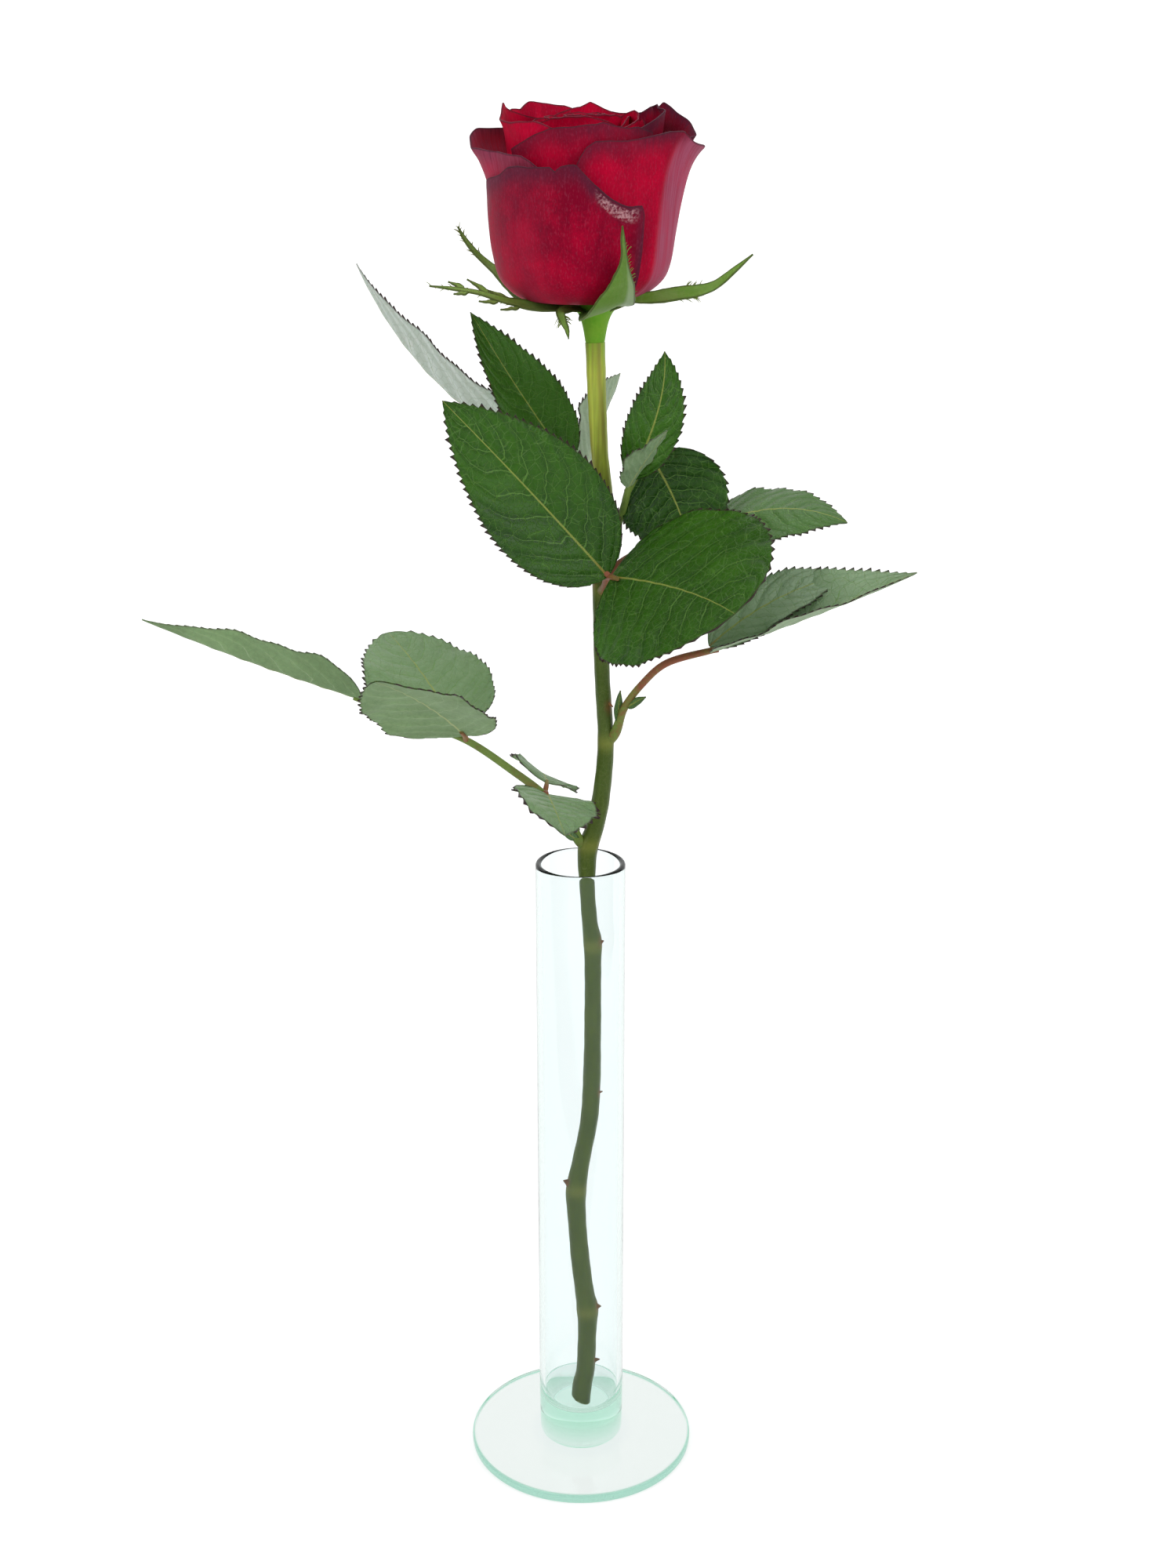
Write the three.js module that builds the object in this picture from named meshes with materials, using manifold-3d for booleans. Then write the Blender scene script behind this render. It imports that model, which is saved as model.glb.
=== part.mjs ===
// A red rose standing in a clear glass bud vase: a tall tube on a round flat foot.
// Millimetres, +Z up. The origin is the centre of the foot's underside. The front is towards -Y.

import * as THREE from 'three';
import { mergeVertices } from 'three/addons/utils/BufferGeometryUtils.js';
import Module from 'manifold-3d';

const wasm = await Module();
wasm.setup();

// ---------------------------------------------------------------- driving dimensions

const FIT_GAP = 0.3;              // clearance between neighbouring pieces

const FOOT_RADIUS = 37;
const FOOT_THICKNESS = 3.5;
const FOOT_EDGE = 1.1;            // rounding of the foot's upper and lower edge

const TUBE_RADIUS = 14;
const TUBE_BORE = 12.2;
const TUBE_HEIGHT = 209;          // height of the rim above the table
const HEEL_RADIUS = 5.2;          // rounding where the tube stands on the foot
const BORE_FLOOR = 16;            // height of the inner bottom
const BORE_CORNER = 5;            // rounding of the inner bottom's corner

const LEAF_THICKNESS = 0.7;
const PETAL_THICKNESS = 0.7;
const STALK_SIDES = 6;            // sides of a leaf stalk's section
const STEM_SIDES = 8;
const STEM_STEPS = 46;            // sections along the stem

const CUT_SLANT = 0.49;           // radians; the stem's cut end rises to the left
const CUT_TIP = 2.6;              // where the cut end's lowest point is along X
const CUTTER = [20, 20, 12];      // block that cuts the stem off

const HIP_FOOT = 366.3;           // where the hip starts above the stem
const HIP_TOP = 377.8;
const BLOOM_BASE = 379.5;         // height that the petals' profiles are measured from
const BLOOM_AXIS = [1.5, 14.8];
const INNER_PETALS = 10;
const GOLDEN_TURN = 137.5;        // degrees from one inner petal to the next

const COLOURS = {
  glass: 0xdfeee6,
  stem: 0x6f8a3f,
  calyx: 0x6f9440,
  leafDark: 0x2f5a2c,
  leafMid: 0x4a7040,
  leafPale: 0x7d9a6c,
  petal: 0x8f0f22,
};

// ---------------------------------------------------------------- solids and meshes

function toSolid(geometry) {
  const bare = geometry.clone();
  bare.deleteAttribute('normal');
  bare.deleteAttribute('uv');
  const merged = mergeVertices(bare, 1e-4);
  return new wasm.Manifold(new wasm.Mesh({
    numProp: 3,
    vertProperties: Float32Array.from(merged.attributes.position.array),
    triVerts: Uint32Array.from(merged.index.array),
  }));
}

function toGeometry(solid) {
  const { vertProperties, triVerts } = solid.getMesh();
  const geometry = new THREE.BufferGeometry();
  geometry.setAttribute('position', new THREE.BufferAttribute(Float32Array.from(vertProperties), 3));
  geometry.setIndex(new THREE.BufferAttribute(Uint32Array.from(triVerts), 1));
  geometry.computeVertexNormals();
  return geometry;
}

// The outer skin alone: pockets that are closed all round become solid.
function withoutPockets(solid) {
  return solid.decompose().reduce((best, shell) => (shell.volume() > best.volume() ? shell : best));
}

function fuse(geometries) {
  let total = toSolid(geometries[0]);
  for (const geometry of geometries.slice(1)) total = total.add(toSolid(geometry));
  return total;
}

// A closed skin over a grid of points: an outer face, an inner face split alike, and the rim.
function slab(outer, inner) {
  const rows = outer.length;
  const columns = outer[0].length;
  const positions = [];
  for (const point of [...outer.flat(), ...inner.flat()]) positions.push(point.x, point.y, point.z);
  const out = (row, column) => row * columns + column;
  const inn = (row, column) => rows * columns + out(row, column);
  const faces = [];
  const quad = (a, b, c, d) => faces.push(a, b, c, a, c, d);
  for (let row = 0; row < rows - 1; row += 1) {
    for (let column = 0; column < columns - 1; column += 1) {
      quad(out(row, column), out(row, column + 1), out(row + 1, column + 1), out(row + 1, column));
      faces.push(inn(row, column), inn(row + 1, column + 1), inn(row, column + 1));
      faces.push(inn(row, column), inn(row + 1, column), inn(row + 1, column + 1));
    }
  }
  for (let row = 0; row < rows - 1; row += 1) {
    const last = columns - 1;
    quad(out(row, 0), out(row + 1, 0), inn(row + 1, 0), inn(row, 0));
    quad(out(row, last), inn(row, last), inn(row + 1, last), out(row + 1, last));
  }
  for (let column = 0; column < columns - 1; column += 1) {
    const last = rows - 1;
    quad(out(0, column), inn(0, column), inn(0, column + 1), out(0, column + 1));
    quad(out(last, column), out(last, column + 1), inn(last, column + 1), inn(last, column));
  }
  const geometry = new THREE.BufferGeometry();
  geometry.setAttribute('position', new THREE.Float32BufferAttribute(positions, 3));
  geometry.setIndex(faces);
  geometry.computeVertexNormals();
  return geometry;
}

// A round rod along a smooth route of [x, y, z, radius] points.
function rod(route, sides, steps) {
  const curve = new THREE.CatmullRomCurve3(route.map(([x, y, z]) => new THREE.Vector3(x, y, z)));
  const positions = [];
  const normal = new THREE.Vector3(0.31, 0.95, 0.02);
  for (let step = 0; step <= steps; step += 1) {
    const along = step / steps;
    const centre = curve.getPoint(along);
    const tangent = curve.getTangent(along);
    normal.addScaledVector(tangent, -normal.dot(tangent)).normalize();
    const side = new THREE.Vector3().crossVectors(tangent, normal);
    const place = along * (route.length - 1);
    const knot = Math.min(Math.floor(place), route.length - 2);
    const radius = THREE.MathUtils.lerp(route[knot][3], route[knot + 1][3], place - knot);
    for (let k = 0; k < sides; k += 1) {
      const angle = (2 * Math.PI * k) / sides;
      const point = centre.clone();
      point.addScaledVector(normal, radius * Math.cos(angle));
      point.addScaledVector(side, radius * Math.sin(angle));
      positions.push(point.x, point.y, point.z);
    }
  }
  const faces = [];
  for (let step = 0; step < steps; step += 1) {
    for (let k = 0; k < sides; k += 1) {
      const next = (k + 1) % sides;
      const low = step * sides;
      const high = low + sides;
      faces.push(low + k, low + next, high + next, low + k, high + next, high + k);
    }
  }
  for (let k = 1; k < sides - 1; k += 1) {
    const top = steps * sides;
    faces.push(0, k + 1, k, top, top + k, top + k + 1);
  }
  const geometry = new THREE.BufferGeometry();
  geometry.setAttribute('position', new THREE.Float32BufferAttribute(positions, 3));
  geometry.setIndex(faces);
  geometry.computeVertexNormals();
  return geometry;
}

// A thorn or a bud: a cone whose wide end is sunk in what it grows from.
function spike(root, tip, radius, sides = 5) {
  return rod([[...root, radius], [...tip, 0.12]], sides, 1);
}

// A solid of revolution about a vertical axis; the profile closes on the axis.
function turned(profile, segments, x = 0, y = 0) {
  const points = profile.map(([radius, height]) => new THREE.Vector2(radius, height));
  const geometry = new THREE.LatheGeometry(points, segments);
  geometry.rotateX(Math.PI / 2);
  geometry.translate(x, y, 0);
  return geometry;
}

// Points of an arc in a profile, from one angle to another, in degrees.
function arc(radius, height, size, from, to, steps) {
  const points = [];
  for (let step = 0; step <= steps; step += 1) {
    const angle = THREE.MathUtils.degToRad(from + ((to - from) * step) / steps);
    points.push([radius + size * Math.cos(angle), height + size * Math.sin(angle)]);
  }
  return points;
}

// ---------------------------------------------------------------- leaf blades

// Half width of a blade at u, from 0 at its base to 1 at its tip, as a share of the widest.
function outlineShare(u, [rise, fall]) {
  const widest = rise / (rise + fall);
  const peak = widest ** rise * (1 - widest) ** fall;
  return (u ** rise * (1 - u) ** fall) / peak;
}

// A toothed blade along a bowed rib. base, middle and tip are points on the rib; up is where the
// upper face looks; fold lifts both halves, cup curves them, wave ripples the edge.
function blade({
  base, middle, tip, up, width, fold = 12, cup = 0, wave = 0.8, teeth = 7, tooth = 1.3, twist = 0,
  outline = [0.6, 1.05], thickness = LEAF_THICKNESS,
}) {
  const start = new THREE.Vector3(...base);
  const end = new THREE.Vector3(...tip);
  const control = new THREE.Vector3(...middle).multiplyScalar(2);
  control.addScaledVector(start, -0.5).addScaledVector(end, -0.5);
  const rib = new THREE.QuadraticBezierCurve3(start, control, end);
  const rise = THREE.MathUtils.degToRad(fold);
  const half = thickness / 2 / Math.cos(rise);
  const rows = [];
  for (let k = 0; k < teeth; k += 1) {
    rows.push([k / teeth, 0], [(k + 0.72) / teeth, tooth]);
  }
  rows.push([1, 0]);
  const upper = [];
  const lower = [];
  for (const [u, bite] of rows) {
    const centre = rib.getPoint(u);
    const tangent = rib.getTangent(u);
    const side = new THREE.Vector3().crossVectors(tangent, new THREE.Vector3(...up)).normalize();
    side.applyAxisAngle(tangent, THREE.MathUtils.degToRad(twist * (u - 0.5)));
    const normal = new THREE.Vector3().crossVectors(side, tangent);
    const reach = Math.max(width * outlineShare(u, outline), 0.35);
    upper.push([]);
    lower.push([]);
    for (const v of [-1, -0.5, 0, 0.5, 1]) {
      const across = v * (reach + (Math.abs(v) === 1 ? bite * Math.min(1, reach / 4) : 0));
      const ripple = wave * Math.sin(2 * Math.PI * (2.2 * u + 0.2 * v)) * v * v * (reach / width);
      const lift = Math.abs(across) * Math.sin(rise) + cup * v * v * (reach / width) + ripple;
      const point = centre.clone();
      point.addScaledVector(side, across * Math.cos(rise));
      point.addScaledVector(normal, lift);
      upper.at(-1).push(point.clone().addScaledVector(normal, half));
      lower.at(-1).push(point.clone().addScaledVector(normal, -half));
    }
  }
  return slab(upper, lower);
}

// ---------------------------------------------------------------- vase

function vaseFoot() {
  return turned([
    [0, 0],
    ...arc(FOOT_RADIUS - FOOT_EDGE, FOOT_EDGE, FOOT_EDGE, -90, 0, 2),
    ...arc(FOOT_RADIUS - FOOT_EDGE, FOOT_THICKNESS - FOOT_EDGE, FOOT_EDGE, 0, 90, 2),
    [0, FOOT_THICKNESS],
  ], 40);
}

function vaseTube() {
  const lip = (TUBE_RADIUS - TUBE_BORE) / 2;
  return turned([
    [0, FOOT_THICKNESS],
    ...arc(TUBE_RADIUS - HEEL_RADIUS, FOOT_THICKNESS + HEEL_RADIUS, HEEL_RADIUS, -90, 0, 3),
    ...arc(TUBE_RADIUS - lip, TUBE_HEIGHT - lip, lip, 0, 180, 3),
    ...arc(TUBE_BORE - BORE_CORNER, BORE_FLOOR + BORE_CORNER, BORE_CORNER, 0, -90, 3),
    [0, BORE_FLOOR],
  ], 32);
}

// ---------------------------------------------------------------- stem

// The stem's route from its cut end to the hip, [x, y, z, radius], chosen by hand.
const STEM_ROUTE = [
  [-0.5, -4.2, 13.5, 3.2], [0.4, -3.6, 23, 3.2], [1.5, -3.1, 29, 3.1], [2.0, -2.2, 42, 3.1],
  [2.1, -1.6, 51, 3.5], [1.2, -1.2, 57, 3.2], [-0.4, -0.4, 71, 3.1], [-1.4, 0.5, 85, 3.1],
  [-1.6, 1.1, 94, 3.4], [0.0, 1.9, 104, 2.9], [2.6, 2.8, 118, 2.9], [3.5, 3.6, 130, 3.0],
  [3.9, 4.6, 149, 2.8], [4.0, 6.2, 173, 2.8], [3.9, 6.6, 180, 3.1], [3.0, 7.0, 186, 2.6],
  [2.1, 7.6, 199, 2.6], [2.2, 8.2, 210, 3.1], [4.3, 8.8, 217, 2.9], [6.5, 9.5, 228, 2.8],
  [7.8, 10.3, 245, 2.5], [6.6, 11.4, 268, 2.4], [6.2, 12.8, 296, 2.5], [7.1, 13.5, 318, 2.7],
  [5.8, 13.9, 334, 2.6], [5.0, 14.3, 349, 2.8], [4.6, 14.7, 361, 2.9], [4.4, 14.8, 365.9, 3.0],
];

// Bumps, buds and prickles: [point inside the stem, tip, radius].
const STEM_SPIKES = [
  [[3.2, -1.6, 51], [6.6, -2.4, 52.5], 1.8],     // bud right, low in the vase
  [[-2.0, 1.2, 95], [-5.8, 0.4, 98], 2.0],       // reddish bud scar left
  [[4.4, 6.5, 178], [7.6, 5.8, 180.5], 1.6],     // node bump right
  [[3.4, -2.6, 31], [6.2, -3.2, 32.5], 1.0],     // small spur near the cut
  [[3.6, 3.4, 127], [7.2, 3.0, 129], 0.9],       // small spur
  [[5.2, 12.6, 296], [2.3, 10.9, 294.6], 1.0],   // prickle by the upper leaves
  [[6.8, 10.9, 258], [10.0, 8.6, 256.6], 1.0],   // prickle on the bare stretch
];

function stem() {
  const body = fuse([
    rod(STEM_ROUTE, STEM_SIDES, STEM_STEPS),
    ...STEM_SPIKES.map(([root, tip, radius]) => spike(root, tip, radius)),
  ]);
  const depth = CUTTER[2] / 2;
  const cutter = new THREE.BoxGeometry(...CUTTER);
  cutter.rotateY(CUT_SLANT);
  cutter.translate(
    CUT_TIP - depth * Math.sin(CUT_SLANT),
    STEM_ROUTE[0][1],
    BORE_FLOOR + FIT_GAP - depth * Math.cos(CUT_SLANT),
  );
  return body.subtract(toSolid(cutter));
}

// A stem fatter by the gap, which leaf stalks are cut with.
const stemRoom = toSolid(rod(
  STEM_ROUTE.map(([x, y, z, radius]) => [x, y, z, radius + FIT_GAP]),
  STEM_SIDES,
  STEM_STEPS,
));

// ---------------------------------------------------------------- calyx

const SEPAL_OUTLINE = [0.3, 1.2];
const SEPALS = [
  // front, standing up against the petals
  { base: [5.5, 11, 375.2], middle: [9, -9.8, 377.4], tip: [11.5, -16.5, 400], up: [0, 0.8, 0.6],
    width: 6 },
  // right, spread out
  { base: [9, 13, 375.5], middle: [28, 7, 377.2], tip: [49.5, 6, 391.5], up: [-0.2, 0, 1],
    width: 3.2 },
  // left, long and toothed
  { base: [-1, 12, 375.5], middle: [-20, 3, 373.5], tip: [-42.5, -2, 383.5], up: [0, -0.5, 0.86],
    width: 3.2 },
  // left behind
  { base: [0, 18, 375.5], middle: [-20, 26, 375.5], tip: [-36, 34, 398], up: [0.3, 0, 1],
    width: 3.0 },
  // hanging in front
  { base: [2, 11.5, 376], middle: [-1.5, 4.2, 373.6], tip: [-3.2, 2.0, 367.0], up: [-0.2, -0.8, 0.4],
    width: 2.2 },
];

function calyx() {
  const [x, y] = STEM_ROUTE.at(-1);
  const hip = turned([
    [0, HIP_FOOT], [3.0, HIP_FOOT], [3.5, 368.8], [4.4, 371.8], [5.4, 374.4], [6.8, 375.8],
    [7.8, 377.0], [7.6, HIP_TOP], [0, HIP_TOP],
  ], 12, x, y);
  const sepals = SEPALS.map((sepal) => blade({
    outline: SEPAL_OUTLINE, fold: 18, wave: 0.5, teeth: 4, tooth: 1.2, ...sepal,
  }));
  return fuse([hip, ...sepals]);
}

// ---------------------------------------------------------------- bloom

// Petals placed by hand, from the outermost in. turn is the bearing from the front, to the right;
// profile holds [radius, height] from the root to the rim; left and right are how far each side
// falls short of the rim; skew tucks one side in; point is a pointed tip [place, height].
const OUTER_PETALS = [
  { // front left, the big cupped one with a rolled rim that falls away to the right
    turn: -34, span: 68, left: [0.14, 3], right: [0.38, 1.4],
    skew: -0.6, wave: 0.7, point: [-0.95, 1],
    profile: [
      [3, 1], [10, -1], [18, -0.6], [24, 5.5], [27, 15],
      [27.8, 26], [28.2, 32], [28.8, 35.5], [30.2, 37.5],
    ],
  },
  { // right, tall, spreading at the rim
    turn: 56, span: 62, left: [0.06, 2.4], right: [0.10, 2.4], skew: 0.5, wave: 0.9, point: [0.7, 1.5],
    profile: [
      [3, 1], [9, -0.6], [15.5, 0], [21, 5], [23.3, 13],
      [24, 23], [26.2, 32], [30, 40], [34, 43],
    ],
  },
  { // left back, rolled out
    turn: -108, span: 55, left: [0.16, 2.4], right: [0.12, 2.4], skew: 0.6, wave: 0.8, point: [0.1, 1.2],
    profile: [
      [3, 1], [9, 0], [17, 2], [22.5, 10], [24.2, 22],
      [25.5, 34], [28.5, 42], [32, 44.5], [34, 42],
    ],
  },
  { // right back
    turn: 120, span: 50, left: [0.12, 2.4], right: [0.16, 2.4], skew: -0.5, wave: 0.8, point: [-0.3, 2.5],
    profile: [[3, 1], [9, 0], [16, 2], [21, 10], [22.2, 22], [23.5, 36], [26.5, 46], [30, 50.5]],
  },
  { // back
    turn: 182, span: 56, left: [0.14, 2.4], right: [0.14, 2.4], skew: 0.5, wave: 0.8, point: [0, 1.5],
    profile: [
      [3, 1], [10, -0.5], [18, 0.5], [24, 8], [26, 19],
      [26.8, 30], [29, 38], [32, 41.5], [34, 40],
    ],
  },
  { // front inner, wide
    turn: -8, span: 62, left: [0.16, 1.8], right: [0.05, 2.4], skew: 0.4, wave: 0.5, point: [0.2, 0.5],
    profile: [[3, 2], [10, 3], [16.5, 10], [19, 20], [19.8, 31], [20, 40], [21, 45], [22.6, 46.5]],
  },
  { // left inner, with a curled lip
    turn: -92, span: 48, left: [0.10, 2.4], right: [0.12, 2.4], skew: -0.4, wave: 0.7, point: [-0.1, 3],
    profile: [[3, 2], [10, 4], [16.5, 12], [19.3, 23], [20.3, 35], [21, 45], [23, 50.5]],
  },
  { // right inner
    turn: 78, span: 50, left: [0.10, 2.4], right: [0.06, 2.4], skew: 0.4, wave: 0.6, point: [0.3, 2],
    profile: [[3, 2], [9.5, 4], [15.5, 12], [17.6, 23], [18.3, 35], [19.8, 46], [22.4, 51]],
  },
  { // back inner, right
    turn: 148, span: 50, left: [0.12, 2.4], right: [0.12, 2.4], skew: 0.4, wave: 0.7, point: [0, 1.5],
    profile: [[3, 2], [10, 4], [16.5, 12], [19, 24], [19.6, 36], [21, 46.5], [23.5, 51]],
  },
  { // back inner, left
    turn: -152, span: 50, left: [0.12, 2.4], right: [0.12, 2.4], skew: -0.4, wave: 0.7, point: [0, 1.5],
    profile: [[3, 2], [9.5, 4], [15.5, 12], [18.2, 24], [18.8, 36], [20, 46.5], [22.5, 50.5]],
  },
];

// The inner petals wind in by the golden angle, closer and steeper towards the middle.
function innerPetals() {
  const petals = [];
  for (let k = 0; k < INNER_PETALS; k += 1) {
    const share = k / (INNER_PETALS - 1);
    const radius = 16.8 - 13 * share ** 0.9;
    const height = 52 + 2.2 * Math.sin(Math.PI * share) - 2 * share;
    petals.push({
      turn: 30 + GOLDEN_TURN * k,
      span: 62 + 30 * share,
      left: [0.07, 2.4],
      right: [0.05, 2.4],
      skew: 0.8,
      wave: 0.3,
      point: [0.2, 1.2],
      profile: [
        [2, 6], [radius * 0.72, 10 + 5 * share], [radius * 0.97, 24], [radius * 1.02, 38],
        [radius * 1.02, height - 3], [radius * 1.08 + 0.6, height],
      ],
    });
  }
  return petals;
}

// A petal's point: s runs across from -1 to 1, t from the root to the rim.
function petalPoint({ turn, span, left, right, skew, wave, point, profile }, s, t) {
  const [tipPlace, tipHeight] = point;
  const curve = new THREE.SplineCurve(profile.map(([r, z]) => new THREE.Vector2(r, z)));
  const [fall, bend] = s < 0 ? left : right;
  const place = curve.getPoint(t * (1 - fall * Math.abs(s) ** bend));
  const nearRim = t ** 5;
  const tip = Math.exp(-(((s - tipPlace) / 0.16) ** 2));
  const ripple = wave * Math.sin(7 * s + turn) * nearRim;
  const radius = place.x + skew * s * t + ripple;
  const height = place.y + tipHeight * tip * nearRim + 0.5 * ripple;
  const bearing = THREE.MathUtils.degToRad(turn + s * span);
  return new THREE.Vector3(
    BLOOM_AXIS[0] + radius * Math.sin(bearing),
    BLOOM_AXIS[1] - radius * Math.cos(bearing),
    BLOOM_BASE + height,
  );
}

function petal(spec, columns, places) {
  const step = 0.004;             // how far apart the slopes are measured
  const outer = [];
  const inner = [];
  for (const t of places) {
    outer.push([]);
    inner.push([]);
    for (let column = 0; column <= columns; column += 1) {
      const s = -1 + (2 * column) / columns;
      const point = petalPoint(spec, s, t);
      const above = Math.min(t + step, 1);
      const along = petalPoint(spec, s, above).sub(petalPoint(spec, s, above - 2 * step));
      const across = petalPoint(spec, s + step, t).sub(petalPoint(spec, s - step, t));
      const normal = across.cross(along).normalize();
      outer.at(-1).push(point.clone().addScaledVector(normal, PETAL_THICKNESS / 2));
      inner.at(-1).push(point.clone().addScaledVector(normal, -PETAL_THICKNESS / 2));
    }
  }
  return slab(outer, inner);
}

function bloom() {
  const [x, y] = BLOOM_AXIS;
  const foot = HIP_TOP + FIT_GAP;
  const core = turned([
    [0, foot], [6, foot], [9, 383], [9.5, 388], [8, 396], [5, 408], [2.2, 420], [0, 426],
  ], 12, x, y);
  return withoutPockets(fuse([
    core,
    ...OUTER_PETALS.map((spec) => petal(spec, 7, [0.02, 0.2, 0.4, 0.6, 0.77, 0.9, 1])),
    ...innerPetals().map((spec) => petal(spec, 6, [0.2, 0.5, 0.8, 1])),
  ]));
}

// ---------------------------------------------------------------- leaves

// Each leaf: stalk routes of [x, y, z, radius] and toothed blades. Stalk ends run into the stem
// and are cut back to its gap; blade bases are sunk in the stalks.
const LEAF_A = {
  stalks: [
    [[6.2, 12.0, 292, 1.6], [7.6, 6.5, 294.8, 1.4], [8.1, -0.5, 299.4, 1.2], [7.9, -3.5, 300.8, 0.8]],
    [[8.1, -0.5, 299.2, 1.2], [11.5, 3.5, 302.4, 1.0], [18.5, 11, 305.0, 0.9], [30, 13.5, 309.5, 0.8],
      [42, 9.6, 313.2, 0.7]],
    [[8.1, -0.5, 299.2, 1.1], [9.5, -5.0, 300.0, 0.9], [11, -8, 300.2, 0.6]],
  ],
  blades: [
    { base: [8.2, -2.6, 299.8], middle: [-15, -5.5, 326], tip: [-39.5, -3, 351.2], up: [0.15, -0.95, 0.2],
      width: 18, outline: [0.62, 1.0], teeth: 9 },
    { base: [9.3, -4.2, 299.9], middle: [28.5, -22.5, 300.2], tip: [42.5, -49, 299], up: [-0.5, -0.37, 0.78],
      width: 29.5, outline: [0.5, 0.58], fold: 2, teeth: 9 },
    { base: [40, 9.9, 312.8], middle: [60, 4.5, 318.5], tip: [78.6, 0, 315.2], up: [-0.1, -0.41, 0.91],
      width: 14.5, outline: [0.4, 1], fold: -8, wave: 0.5 },
  ],
};

const LEAF_B = {
  stalks: [
    [[7.0, 13.0, 306.5, 1.5], [10.2, 9.0, 310.5, 1.3], [12.4, 5.0, 317.5, 1.1], [14.0, 2.4, 324.0, 1.0],
      [15.0, 2, 330, 0.7]],
    [[14.0, 2.4, 324.0, 1.0], [17.5, 3.9, 330, 0.8], [21, 5.3, 335.5, 0.6]],
  ],
  blades: [
    { base: [14.6, 2, 328], middle: [22.6, 3, 347.5], tip: [24.5, 6, 364.2], up: [0.1, -0.98, 0.1],
      width: 8 },
    { base: [14.2, 1.6, 325.5], middle: [19, -6, 334.5], tip: [24.8, -12, 344], up: [-0.47, 0.56, 0.69],
      width: 5.5, fold: 30, teeth: 5 },
    { base: [20.5, 5.5, 334.6], middle: [28.6, 6.6, 319.5], tip: [32.5, 7.6, 306.5], up: [0.05, -0.99, -0.05],
      width: 16, outline: [0.55, 0.75], fold: 6 },
  ],
};

const LEAF_C = {
  stalks: [
    [[6.8, 14.0, 318, 1.5], [5.2, 20.5, 320.5, 1.2], [0.6, 27.5, 323.5, 1.1], [-6.2, 33, 327.5, 0.8]],
    [[2.2, 25.5, 322.2, 0.9], [-1.0, 29.0, 325.5, 0.8], [-4.6, 31.0, 329, 0.6]],
  ],
  blades: [
    { base: [-5.8, 32.8, 327.2], middle: [-44, 46, 350], tip: [-69.8, 60, 385.5], up: [0.6, 0.34, 0.73],
      width: 16, fold: 22, teeth: 8 },
    { base: [-3.6, 30.6, 328.3], middle: [-18.5, 26.5, 350.5], tip: [-32.5, 24, 373.8], up: [0.32, -0.92, 0.07],
      width: 12.5, fold: 38 },
    { base: [1.0, 28.6, 323.8], middle: [6.0, 46, 338], tip: [12.5, 62, 351.6], up: [-0.95, 0.29, 0.05],
      width: 11, fold: 20 },
  ],
};

const LEAF_D = {
  stalks: [
    [[7.6, 11.0, 244, 1.9], [10.8, 8.6, 248.5, 1.6], [13.4, 5.8, 257, 1.2], [18.6, 2.4, 265.4, 1.1],
      [25.8, -2, 273.2, 1.1], [37.5, -6.0, 277.8, 1.0], [41, -7.2, 278.6, 0.7]],
  ],
  blades: [
    { base: [38.5, -6.4, 277.8], middle: [67, -11, 289.4], tip: [97.5, -14, 303.4], up: [-0.25, -0.27, 0.93],
      width: 16, fold: 35, teeth: 8 },
    { base: [38.5, -5.2, 279.2], middle: [58, -5.5, 293.5], tip: [80, -4, 300.9], up: [-0.3, -0.72, 0.62],
      width: 8.5, fold: 14 },
  ],
  stipules: [
    { base: [11.6, 7.2, 252], middle: [11.6, 5.6, 258], tip: [12.2, 4.0, 263], up: [0.6, -0.8, 0],
      width: 1.6 },
    { base: [14.4, 4.6, 257.6], middle: [17.2, 2.4, 260], tip: [19.8, 0.6, 262], up: [0.4, -0.6, 0.6],
      width: 1.5 },
  ],
};

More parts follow.
